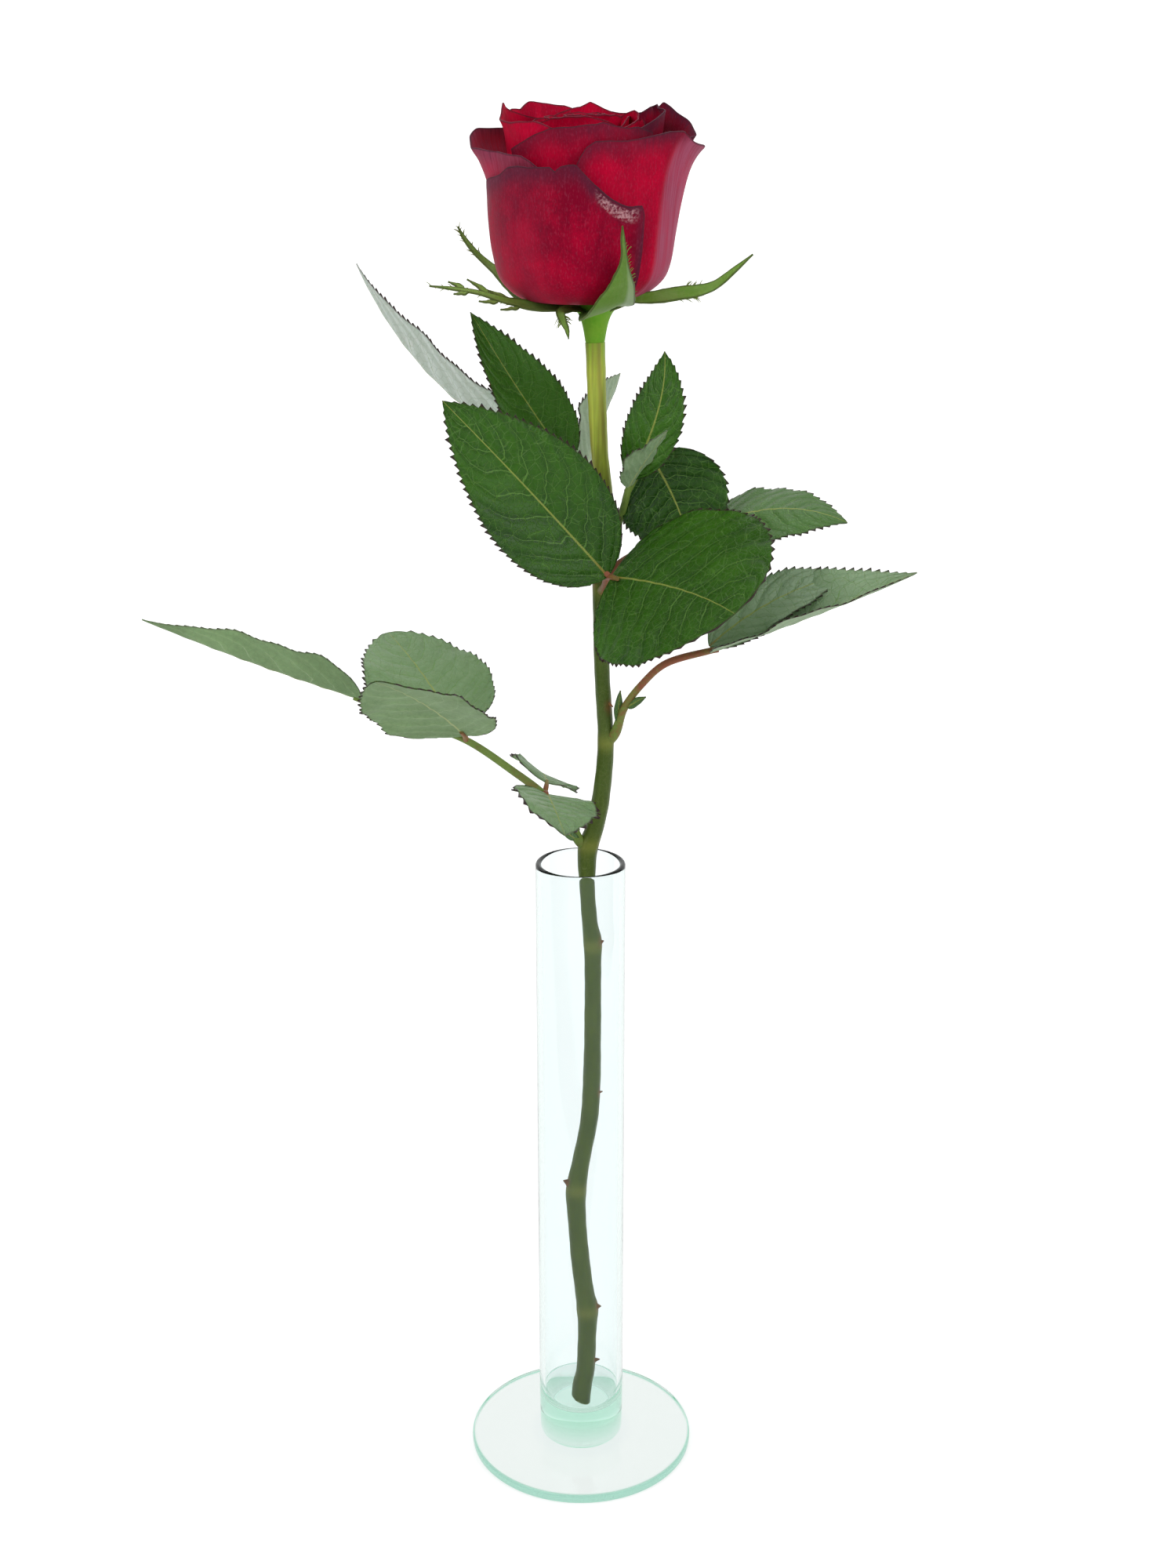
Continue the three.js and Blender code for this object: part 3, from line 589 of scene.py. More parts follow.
class LeafSettings(bpy.types.PropertyGroup):
    """The leaves."""

    thickness: size("Blade Thickness", "Thickness of a leaflet or sepal", 0.0004)
    tooth_pitch: size("Tooth Pitch", "Distance from one tooth to the next", 0.0022)
    tooth_depth: size("Tooth Depth", "How far a tooth stands out", 0.00085)
    dark: tint("Upper Green", "Upper face", (0.009, 0.05, 0.001))
    light: tint("Lighter Green", "Upper face between the veins", (0.04, 0.15, 0.002))
    # The pale and palest greens are painted light: reflection on leaflets that face the light.
    pale: tint("Pale Green", "Upper face of leaflets that catch the light", (0.26, 0.41, 0.2))
    pale_and_painted_light: tint("Frost", "Palest faces", (0.78, 0.86, 0.8))
    vein: tint("Vein", "Veins on the upper face", (0.16, 0.34, 0.06))
    rib: tint("Rib", "Rib on the upper face", (0.42, 0.47, 0.1))
    rib_foot: tint("Rib Foot", "Rib near the leaf's stalk", (0.42, 0.17, 0.03))
    under: tint("Under Green", "Lower face", (0.27, 0.43, 0.19))
    under_vein: tint("Under Vein", "Veins on the lower face", (0.4, 0.52, 0.3))
    under_rib: tint("Under Rib", "Rib on the lower face", (0.48, 0.55, 0.24))
    edge: tint("Edge", "Dark reddish tooth tips", (0.03, 0.012, 0.01))
    stalk: tint("Stalk Green", "Leaf stalks", (0.2, 0.3, 0.06))
    blush: tint("Stalk Blush", "Reddish brown on stalks", (0.3, 0.1, 0.05))


class CalyxSettings(bpy.types.PropertyGroup):
    """The hip and the sepals."""

    green: tint("Sepal Green", "Darker green of a sepal", (0.15, 0.32, 0.03))
    pale: tint("Pale Sepal", "Paler green of a sepal", (0.24, 0.4, 0.09))
    hip_green: tint("Hip Green", "Darker green of the hip", (0.17, 0.5, 0.01))
    hip_pale: tint("Pale Hip", "Paler green of the hip", (0.26, 0.56, 0.03))
    line: tint("Sepal Lines", "Fine lines along a sepal", (0.12, 0.22, 0.05))
    rust: tint("Rust", "Reddish brown of the hairs and lobes", (0.24, 0.14, 0.04))
    lining: tint("Lining", "Pale margin where a sepal turns over", (0.5, 0.6, 0.42))


class StageSettings(bpy.types.PropertyGroup):
    """The floor, the lights and the camera."""

    lens: FloatProperty(name="Lens", description="Focal length", default=45.93, unit="CAMERA")
    pitch: FloatProperty(name="Pitch", description="How far down the camera looks",
                         default=0.315135, subtype="ANGLE", unit="ROTATION")
    floor: tint("Floor", "Pale floor", (0.5, 0.5, 0.5))
    glow: FloatProperty(name="Floor Light", description="Light that the lit white floor gives off",
                        default=0.72, min=0.0)
    light: FloatProperty(name="Light", description="Power of the main soft light", default=9.0,
                         min=0.0, unit="POWER")


# ---------------------------------------------------------------- materials


def glass_material(given):
    """Clear glass with a faint drawn waviness, greenish where it is thick, with a painted green edge
    on the foot and a foot painted brighter.
    """
    material, nodes, shader = new_material(
        "clear_glass", Roughness=0.0, IOR=1.5, Transmission_Weight=1.0, Metallic=0.0,
        Specular_Tint=(0.42, 0.5, 0.46, 1),
    )
    where, cloud = nodes.mottled(40.0, 220.0)
    axes = nodes.split(where)
    from_axis = nodes.length(nodes.vector(axes[0], axes[1]))
    # Painted light: the foot's faces take a whiter tint that brightens them.
    plate = nodes.fade(from_axis, given.tube_radius + 0.001, given.tube_radius + 0.004)
    # Painted reflection: greener glass at the edge of the foot, where light running through the disc
    # shows green edge-on.
    brim = nodes.fade(from_axis, given.foot_radius - 0.0011, given.foot_radius - 0.0003)
    colour = nodes.layers(
        given.clear,
        (cloud, shaded(given.clear, 0.99)),
        (plate, given.plate),
        (brim, shaded(given.depth, 0.75)),
    )
    drawn = nodes.stretched_noise(where, (70, 70, 12), 2.0)
    wire(nodes, shader, colour, height=drawn, bump=0.12, distance=0.5)
    thick = {"Color": opaque(given.depth), "Density": 26.0}
    volume = nodes.add("ShaderNodeVolumeAbsorption", thick).outputs[0]
    nodes.feed(nodes.tree.nodes["Material Output"].inputs["Volume"], volume)
    return material


def petal_material(name, given, veil_and_sheen_width, veil_and_sheen_share, glow, line_share=0.75):
    """Red velvet: painted light and shade, streaks from root to rim, a dusky rim band that is partly
    painted sheen, painted sheen, a painted rim highlight and a fine rim line.
    """
    material, nodes, shader = new_material(
        name, Roughness=0.55, Specular_IOR_Level=0.05, Sheen_Weight=0.03, Sheen_Roughness=0.35,
        Sheen_Tint=(1.0, 0.45, 0.62, 1), Subsurface_Weight=0.08, Subsurface_Scale=0.0012,
        Subsurface_Radius=(1.0, 0.12, 0.16),
    )
    uv = nodes.uv()
    where, cloud = nodes.mottled(110.0, 1600.0)
    streak, broad = nodes.group(streak_group(), UV=uv, Count=70.0)
    tone = nodes.attribute("tone")
    edge = nodes.attribute("edge_mm")
    from_root = nodes.split(uv)[1]
    # Painted light and shade: random clouds set the lit share, each petal's tone value paints it
    # darker up its length, and the glow adds painted light.
    lit = nodes.scaled(broad, 0.32, nodes.times(cloud, 0.5))
    lit = nodes.scaled(nodes.times(tone, nodes.fade(from_root, 0.35, 0.75)), 0.85, lit)
    # The glow adds painted light to every petal.
    lit = nodes.math("ADD", lit, glow, clamp=True)
    # Dusky band inside the rim: partly the petal's darker rim, partly painted grazing sheen; petals
    # whose tone value paints shade take more of it.
    veil_and_painted_sheen = nodes.fade(nodes.scaled(streak, 1.6, edge), 0.4, veil_and_sheen_width, veil_and_sheen_share, 0.0)
    veil_and_painted_sheen = nodes.times(veil_and_painted_sheen, nodes.math("SUBTRACT", 1.0, tone))
    veil_and_painted_sheen = nodes.times(veil_and_painted_sheen, nodes.scaled(broad, 0.5, 0.6), clamp=True)
    # Darker towards the root, in the rim band's colour.
    root = nodes.times(nodes.fade(from_root, 0.16, 0.4, 0.6, 0.0), veil_and_sheen_share)
    grain = nodes.stretched_noise(where, (2200, 2200, 900), 3.0)
    # Painted sheen where a petal's face turns away, in the zones that each petal lists.
    dust = nodes.times(nodes.attribute("dust"), nodes.fade(streak, 0.2, 0.8, 0.6, 1.0))
    # Painted highlight: a mottled glint on a rolled rim, where a petal lists it.
    glint = nodes.fade(nodes.noise(where, 1500.0, 3.0), 0.35, 0.7, 0.0, 0.85)
    colour = nodes.layers(
        given.deep,
        (lit, given.bright),
        (nodes.times(streak, 0.14), shaded(given.deep, 0.55)),
        (veil_and_painted_sheen, given.veil_and_painted_sheen),
        (root, given.veil_and_painted_sheen),
        # Fine flecks of painted sheen over the velvet.
        (nodes.fade(grain, 0.48, 0.75, 0.0, 0.14), given.dust),
        (dust, given.dust),
        (nodes.times(nodes.attribute("shine"), glint), given.shine),
        (nodes.fade(edge, 0.1, 0.6, line_share, 0.0), given.line),
    )
    height = nodes.scaled(streak, 0.7, nodes.times(cloud, 0.3))
    wire(nodes, shader, colour, nodes.scaled(cloud, 0.16, 0.46), height, 0.22, 0.12)
    return material


def tooth_rim(nodes):
    """How far a point of a leaflet lies in its reddish margin."""
    return nodes.fade(nodes.attribute("edge_mm"), -0.45, 0.32, 1.0, 0.0)


def leaf_top_material(given):
    """The upper face: dark satin green with a pale net of veins, reddish tooth tips and painted light
    that makes leaflets paler and darker.
    """
    material, nodes, shader = new_material(
        "leaf_upper", Specular_IOR_Level=0.32, Sheen_Weight=0.02, Sheen_Roughness=0.5,
        Subsurface_Weight=0.06, Subsurface_Scale=0.001,
    )
    uv = nodes.uv()
    where, cloud = nodes.mottled(45.0, 700.0)
    half = nodes.attribute("half_mm")
    vein, rib, swell = nodes.group(vein_group(), UV=uv, Half_Width=half)
    bent = nodes.noise(where, 260.0, 2.0)
    moved = nodes.add("ShaderNodeVectorMath", {0: where, 1: (0.0012, 0.0012, 0.0012)},
                      operation="ADD").outputs[0]
    warp = nodes.layers(moved, (0.0009, nodes.vector(bent, bent)))
    coarse = nodes.edges(warp, 320.0, 0.05)
    fine = nodes.edges(warp, 800.0, 0.07)
    tone = nodes.attribute("tone")
    # Painted light: the tone value lifts a leaflet towards the lighter green, from 0.3 towards the
    # pale green of painted reflection and from 1 towards the palest; below 0 it paints shade.
    shade = nodes.scaled(cloud, 0.55, nodes.times(swell, 0.3))
    shade = nodes.math("ADD", shade, tone, clamp=True)
    pale = nodes.times(nodes.fade(tone, 0.3, 1.0), nodes.fade(cloud, 0.0, 1.0, 1.0, 0.8))
    near_stalk = nodes.fade(nodes.split(uv)[1], 0.0, 0.14, 0.7, 0.0)
    colour = nodes.layers(
        given.dark,
        (shade, given.light),
        (pale, given.pale),
        (nodes.fade(tone, 1.0, 2.0), given.pale_and_painted_light),
        (nodes.times(fine, 0.12), given.vein),
        (nodes.times(coarse, 0.3), given.vein),
        (nodes.times(vein, 0.6), given.vein),
        (nodes.times(rib, 0.7), nodes.layers(given.rib, (near_stalk, given.rib_foot))),
        (tooth_rim(nodes), given.edge),
    )
    height = nodes.scaled(swell, 0.8, nodes.times(fine, -0.22))
    height = nodes.math("SUBTRACT", height, nodes.times(coarse, 0.3))
    wire(nodes, shader, colour, nodes.scaled(cloud, 0.12, 0.33), height, 0.8, 0.35)
    return material


def leaf_under_material(given):
    """The lower face: pale, matt, with raised veins."""
    material, nodes, shader = new_material(
        "leaf_lower", Specular_IOR_Level=0.25, Sheen_Weight=0.05, Sheen_Roughness=0.5,
        Subsurface_Weight=0.06, Subsurface_Scale=0.001,
    )
    uv = nodes.uv()
    where, cloud = nodes.mottled(60.0, 800.0)
    half = nodes.attribute("half_mm")
    vein, rib, swell = nodes.group(vein_group(), UV=uv, Half_Width=half)
    net = nodes.edges(where, 420.0, 0.09)
    colour = nodes.layers(
        given.under,
        (cloud, shaded(given.under, 0.72)),
        # Leaflets with a tone value above 1 are painted palest: painted light.
        (nodes.fade(nodes.attribute("tone"), 1.0, 2.0), given.pale_and_painted_light),
        (nodes.times(net, 0.2), shaded(given.under, 0.6)),
        (nodes.times(swell, 0.3), shaded(given.under, 0.62)),
        (nodes.times(vein, 0.6), given.under_vein),
        (nodes.times(rib, 0.85), given.under_rib),
        (tooth_rim(nodes), given.edge),
    )
    height = nodes.scaled(vein, 0.8, nodes.times(net, 0.3))
    height = nodes.scaled(rib, 1.0, height)
    wire(nodes, shader, colour, nodes.scaled(cloud, 0.1, 0.52), height, 0.5, 0.3)
    return material


def stalk_material(given):
    """Leaf stalks: green with a reddish blush on the side and at the joints."""
    material, nodes, shader = new_material(
        "leaf_stalk", Specular_IOR_Level=0.25, Subsurface_Weight=0.08, Subsurface_Scale=0.001,
    )
    cloud = nodes.mottled(90.0, 900.0)[1]
    blush = nodes.fade(nodes.scaled(cloud, 0.5, nodes.attribute("tone")), 0.3, 0.95)
    colour = nodes.layers(given.stalk, (cloud, shaded(given.stalk, 0.7)), (blush, given.blush))
    wire(nodes, shader, colour, nodes.scaled(cloud, 0.14, 0.42), cloud, 0.3, 0.15)
    return material


def sepal_material(name, given, edge, green, pale):
    """Sepals and hip: fresh green with fine lengthwise lines and a reddish margin."""
    material, nodes, shader = new_material(
        name, Specular_IOR_Level=0.2, Sheen_Weight=0.03, Sheen_Roughness=0.5,
        Subsurface_Weight=0.1, Subsurface_Scale=0.001,
    )
    cloud = nodes.mottled(120.0, 1100.0)[1]
    streak = nodes.group(streak_group(), UV=nodes.uv(), Count=26.0)[0]
    tone = nodes.attribute("tone")
    colour = nodes.layers(
        green,
        (cloud, pale),
        (nodes.times(streak, 0.4), given.line),
        (tone, given.rust),
        (nodes.times(tone, -0.8, clamp=True), given.lining),
        (nodes.fade(nodes.attribute("edge_mm"), 0.1, 0.5, 0.6, 0.0), edge),
    )
    height = nodes.scaled(streak, 0.6, nodes.times(cloud, 0.5))
    wire(nodes, shader, colour, nodes.scaled(cloud, 0.12, 0.5), height, 0.4, 0.15)
    return material


def stem_material(given):
    """The stem's skin: yellow-green under the bloom, olive lower down, scarred at the buds."""
    material, nodes, shader = new_material(
        "stem_skin", Specular_IOR_Level=0.25, Subsurface_Weight=0.08, Subsurface_Scale=0.0015,
    )
    where, cloud = nodes.mottled(55.0, 900.0)
    up = nodes.split(where)[2]
    ramp = nodes.add("ShaderNodeValToRGB", {0: nodes.math("DIVIDE", up, STEM_TOP)})
    stops = ramp.color_ramp.elements
    stops[0].color = opaque(given.old)
    stops[1].color = opaque(given.top)
    for position, colour in ((0.47, given.old), (0.64, given.green), (0.8, given.green),
                             (0.91, given.fresh), (0.965, given.fresh)):
        stops.new(position).color = opaque(colour)
    skin = ramp.outputs[0]
    lines = nodes.stretched_noise(where, (900, 900, 45), 3.0)
    furrowed = (nodes.fade(lines, 0.35, 0.7, 0.0, 0.5), nodes.layers(skin, (0.6, given.furrow)))
    colour = nodes.layers(skin, furrowed)
    streaks = nodes.stretched_noise(where, (260, 260, 14), 2.0)
    blush = nodes.times(nodes.fade(streaks, 0.5, 0.62, 0.0, 0.45), nodes.fade(up, 0.3, 0.33))
    colour = nodes.layers(
        colour,
        (nodes.times(cloud, 0.4), nodes.layers(colour, (0.22, given.bloom))),
        (blush, given.blush),
        (nodes.times(nodes.edges(where, 600.0, 0.03), 0.1), given.speck),
        (nodes.times(nodes.attribute("knot"), 0.4), given.knot),
        (nodes.attribute("scar"), given.scar),
        (nodes.attribute("pith"), given.pith),
    )
    height = nodes.scaled(lines, 0.7, nodes.times(cloud, 0.5))
    wire(nodes, shader, colour, nodes.scaled(cloud, 0.18, 0.36), height, 0.35, 0.25)
    return material


def seat_material(given):
    """Red flesh that the petals grow from."""
    material, nodes, shader = new_material("bloom_seat", Specular_IOR_Level=0.3)
    cloud = nodes.mottled(120.0, 900.0)[1]
    colour = nodes.layers(given.deep, (cloud, given.bright))
    wire(nodes, shader, colour, nodes.scaled(cloud, 0.1, 0.6), cloud)
    return material


def floor_material(given):
    """A pale seamless floor, lit from behind towards the backdrop."""
    material, nodes, shader = new_material(
        "pale_floor", Specular_IOR_Level=0.1, Emission_Color=(1, 1, 1, 1),
    )
    where, cloud = nodes.mottled(3.0, 60.0)
    glow = nodes.fade(nodes.length(where), 0.1, 1.4, given.glow, 0.95)
    rays = nodes.add("ShaderNodeLightPath").outputs
    spread = nodes.math("MINIMUM", rays["Diffuse Depth"], 1.0)
    mirrored = nodes.math("SUBTRACT", rays["Is Glossy Ray"], rays["Is Transmission Ray"], clamp=True)
    glow = nodes.times(glow, nodes.scaled(spread, -0.6, 1.0))
    glow = nodes.times(glow, nodes.scaled(mirrored, -0.2, 1.0))
    nodes.feed(shader.inputs["Emission Strength"], glow)
    colour = nodes.layers(given.floor, (cloud, shaded(given.floor, 0.985)))
    wire(nodes, shader, colour, nodes.scaled(cloud, 0.1, 0.75))
    return material


# ---------------------------------------------------------------- vase


def vase_piece(given):
    """The whole vase as one body of glass: foot, heel, tube, rim and inner bottom."""
    foot = given.foot_radius / MM
    thick = given.foot_thickness / MM
    tube = given.tube_radius / MM
    bore = given.tube_bore / MM
    top = given.height / MM
    lip = (tube - bore) / 2
    brim = top - lip
    corner = BORE_FLOOR + BORE_CORNER
    profile = [
        (0, 0), (foot * 0.5, 0),
        *arc(foot - FOOT_EDGE, FOOT_EDGE, FOOT_EDGE, -90, 0, 6),
        *arc(foot - FOOT_EDGE, thick - FOOT_EDGE, FOOT_EDGE, 0, 90, 6),
        (foot * 0.6, thick), (tube + 0.6, thick),
        *arc(tube - HEEL_INSET, thick + HEEL_RADIUS, HEEL_RADIUS, -60, 0, 6),
        *((tube, z) for z in (thick + 14, thick + 17, top * 0.5, brim - 3, brim - 1)),
        *arc(tube - lip, brim, lip, 0, 180, 14),
        *((bore, z) for z in (brim - 1, brim - 3, top * 0.5, corner + 3, corner + 1)),
        *arc(bore - BORE_CORNER, corner, BORE_CORNER, 0, -90, 10),
        (2.5, BORE_FLOOR + 0.1), (0, BORE_FLOOR + 0.2),
    ]
    obj = smooth(turned_piece("glass_vase", profile, given.segments), 40)
    return paint(obj, glass_material(given))


# ---------------------------------------------------------------- stem


def nearest_spike(centre):
    """How close each point is to the tip of a bud or prickle, 1 within 1.2 mm and 0 from 3.4 mm."""
    tips = np.array([tip for _, tip, _ in STEM_SPIKES])
    apart = np.linalg.norm(centre[:, None, :] - tips[None, :, :], axis=2).min(axis=1)
    return ease(3.4, 1.2, apart)


def near_nodes(height, reach):
    """How close heights are to the stem's nodes, 1 at a node and fading over a reach."""
    return sum(np.exp(-(((height - node) / reach) ** 2)) for node in STEM_NODES)


def stem_piece(given):
    """The stem with its nodes, buds, prickles and slanting cut."""

    def swollen(centre, radius):
        height = centre[:, 2]
        near = near_nodes(height, 3.2)
        drift = 0.05 * np.sin(height * 0.9) + 0.05 * np.sin(height * 0.37 + 1)
        return radius * (0.985 + 0.04 * near) + drift * 0.6

    places = tube_places(STEM_ROUTE, given.sides, 420, swollen)
    flat = places.reshape(-1, 3)
    ring = np.linspace(0, 2 * math.pi, places.shape[1])
    ridges = 0.05 * np.sin(5 * ring)[None, :] + 0.03 * np.sin(9 * ring + 1)[None, :]
    middle = places.mean(axis=1, keepdims=True)
    places = middle + (places - middle) * (1 + ridges[..., None] * 0.5)
    values = {
        "knot": np.clip(near_nodes(flat[:, 2], 2.4), 0, 1),
        "scar": 0.5 * nearest_spike(flat),
        "pith": np.zeros(len(flat)),
    }
    parts = [weld(grid_piece("stem_rod", places, values))]
    for root, tip, radius in STEM_SPIKES:
        spike = bent_spike(root, tip, 0.35, (radius * 1.15, radius * 0.72, 0.16), 14, 10)
        count = spike.shape[0] * spike.shape[1]
        values = {
            "knot": np.full(count, 0.6),
            "scar": np.repeat(np.linspace(0.35, 0.95, spike.shape[0]), spike.shape[1]),
            "pith": np.zeros(count),
        }
        parts.append(weld(grid_piece("stem_spike", spike, values)))
    obj = join("rose_stem", parts)
    cut = Vector((CUT_TIP, 0, BORE_FLOOR + CUT_GAP)) * MM
    slope = Vector((math.sin(CUT_SLANT), 0, math.cos(CUT_SLANT)))
    edit(obj, (bpy.ops.mesh.bisect, {
        "plane_co": cut, "plane_no": slope, "use_fill": True, "clear_inner": True,
    }))
    mark_pith(obj, slope)
    return paint(smooth(obj, 40), stem_material(given))


def mark_pith(obj, slope):
    """Marks the points of the cut face, which shows the pale pith."""
    pith = obj.data.attributes["pith"].data
    for face in obj.data.polygons:
        if face.normal.dot(slope) < -0.95 and face.center.z < 0.02:
            for index in face.vertices:
                pith[index].value = 0.8


# ---------------------------------------------------------------- blades: leaflets and sepals


def outline_share(u, rise, fall):
    """Half width of a blade from base to tip, as a share of its widest."""
    widest = rise / (rise + fall)
    peak = widest**rise * (1 - widest) ** fall
    return u**rise * (1 - u) ** fall / peak


def rib_line(spec, u):
    """Points along a blade's rib: a listed line, or a bow through base, middle and tip."""
    if "line" in spec:
        return spline(spec["line"], u)
    start, middle, end = (np.array(spec[key], float) for key in ("base", "middle", "tip"))
    control = 2 * middle - 0.5 * start - 0.5 * end
    share = u[:, None]
    return (1 - share) ** 2 * start + 2 * share * (1 - share) * control + share**2 * end


def rib_frame(spec, u):
    """Points along a blade's rib, with the ways along the rib and across the blade."""
    centre = rib_line(spec, u)
    tangent = unit(np.gradient(centre, axis=0))
    side = unit(np.cross(tangent, np.array(spec["up"], float)))
    return centre, tangent, side


def half_widths(spec, u):
    """A blade's half width along its rib, and its widest."""
    if "shape" in spec:
        knots, halves = zip(*spec["shape"])
        reach = smoothed(np.interp(u, knots, halves), 4)
        width = max(halves)
    else:
        width = spec["width"]
        reach = width * outline_share(u, *spec.get("outline", (0.6, 1.05)))
    return np.maximum(reach, 0.2), width


def tooth_shape(u, teeth, seed):
    """A saw that leans towards the tip, 0 to 1, and how large each point's tooth is."""
    phase = (u * teeth) % 1
    saw = np.where(phase < 0.74, (phase / 0.74) ** 1.5, (1 - phase) / 0.26)
    uneven = 0.75 + 0.5 * np.random.default_rng(seed).random(teeth + 1)
    return saw, uneven[(u * teeth).astype(int)]


def blade_places(spec, pitch, depth, columns=27):
    """Rows of points of a toothed blade, with the values and the UV map for its materials.

    Values along the rib are columns and values across the blade are rows, so they combine.
    """
    probe = rib_line(spec, np.linspace(0, 1, 60))
    length = np.linalg.norm(np.diff(probe, axis=0), axis=1).sum()
    teeth = spec.get("teeth") or max(5, round(length / pitch))
    u = np.linspace(0, 1, teeth * 8 + 1)
    centre, tangent, side = rib_frame(spec, u)
    reach, width = half_widths(spec, u)
    saw, uneven = tooth_shape(u, teeth, len(spec["up"]) + int(abs(centre[0, 2]) * 10))
    bite = depth * spec.get("bite", 1) * np.minimum(1, reach / 6) * saw * uneven
    u, reach, bite = (values[:, None] for values in (u, reach, bite))
    k = np.linspace(-1, 1, columns)
    v = np.sign(k) * np.abs(k) ** 0.78
    at_edge = np.clip((np.abs(v) - 0.86) / 0.14, 0, 1)
    across = v * (reach + bite * at_edge)
    share = reach / width
    ripple = spec.get("wave", 0.8) * np.sin(2 * math.pi * (2.2 * u + 0.2 * v)) * v**2 * share
    lean = VEIN_SLANT * np.abs(v) + VEIN_BOW * np.abs(v) ** 3
    vein_at = (u - lean) * VEIN_PAIRS + VEIN_STAGGER * np.sign(v)
    swell = 0.22 * ease(0, 0.34, np.abs(vein_at % 1 - 0.5)) * (1 - np.abs(v) ** 4) * share
    flutter = 0.35 * np.sin(2 * math.pi * (5.3 * u + 0.11 * np.sign(v))) * v**4 * share
    rise = math.radians(spec.get("fold", 12))
    lift = (np.sqrt(across**2 + 1.2) - math.sqrt(1.2)) * math.sin(rise) + ripple
    lift = lift + (swell + flutter) * spec.get("quilt", 1)
    tone = np.full(lift.shape, float(spec.get("tone", 0)))
    if "turned" in spec:
        hand, start, size = spec["turned"]
        folded = np.clip((hand * v - start) / (1 - start), 0, 1) * ease(0.05, 0.2, u)
        lift = lift - size * folded**1.5 * share
        tone = tone - 0.9 * np.minimum(1, 2.5 * folded) * share
    ways = ((side, across * math.cos(rise)), (np.cross(side, tangent), lift),
            (tangent, 0.9 * bite * at_edge))
    places = centre[:, None]
    for way, far in ways:
        places = places + way[:, None] * far[..., None]
    inside = (1 - np.abs(v)) * reach - 0.8 * bite * at_edge
    values = {
        "edge_mm": np.minimum(inside, (1 - u) * length),
        "half_mm": np.broadcast_to(reach, inside.shape),
        "tone": tone,
    }
    return places, values, np.stack(np.broadcast_arrays((v + 1) / 2, u), axis=-1)


def set_uv(obj, uv):
    """Writes a point's across and along into the UV map at each of its corners."""
    mesh = obj.data
    corners = np.empty(len(mesh.loops), np.int32)
    mesh.loops.foreach_get("vertex_index", corners)
    mesh.uv_layers[0].data.foreach_set("uv", uv.reshape(-1, 2)[corners].astype(np.float32).ravel())
    return obj


def blade_piece(spec, pitch, depth, thickness, upper, lower):
    """One blade as a closed thin solid with an upper and a lower face."""
    places, values, uv = blade_places(spec, pitch, depth, spec.get("columns", 27))
    sheet = paint(set_uv(grid_piece("blade", places, values), uv), upper, lower)
    return thicken(sheet, thickness)


def stalk_piece(route, tone, sides=14, per_knot=10):
    """One leaf stalk, with its blush at both ends."""
    places = tube_places(route, sides, per_knot * (len(route) - 1))
    along = np.linspace(*tone, len(places))[:, None]
    return weld(grid_piece("stalk", places, plain_values(places.shape[:2], along)))


# ---------------------------------------------------------------- leaves

# A stipule is a small blade at a stalk's foot, with few teeth.
STIPULE = {"teeth": 4, "quilt": 0, "wave": 0.1, "fold": 12, "tone": 0.6, "columns": 13}
STIPULE_TOOTH = 0.1


def leaflet(base, middle, tip, up, width, **more):
    """A blade's places along its rib, where its upper face looks and its half width.

    More can be: fold, the angle in degrees that each half rises; outline, how it widens and
    narrows; bite, the depth of its teeth; wave, its ripple; tone, its painted light: paler for
    painted reflection from 0.3, palest from 1, and darker below 0 for painted shade.
    """
    return {"base": base, "middle": middle, "tip": tip, "up": up, "width": width, **more}
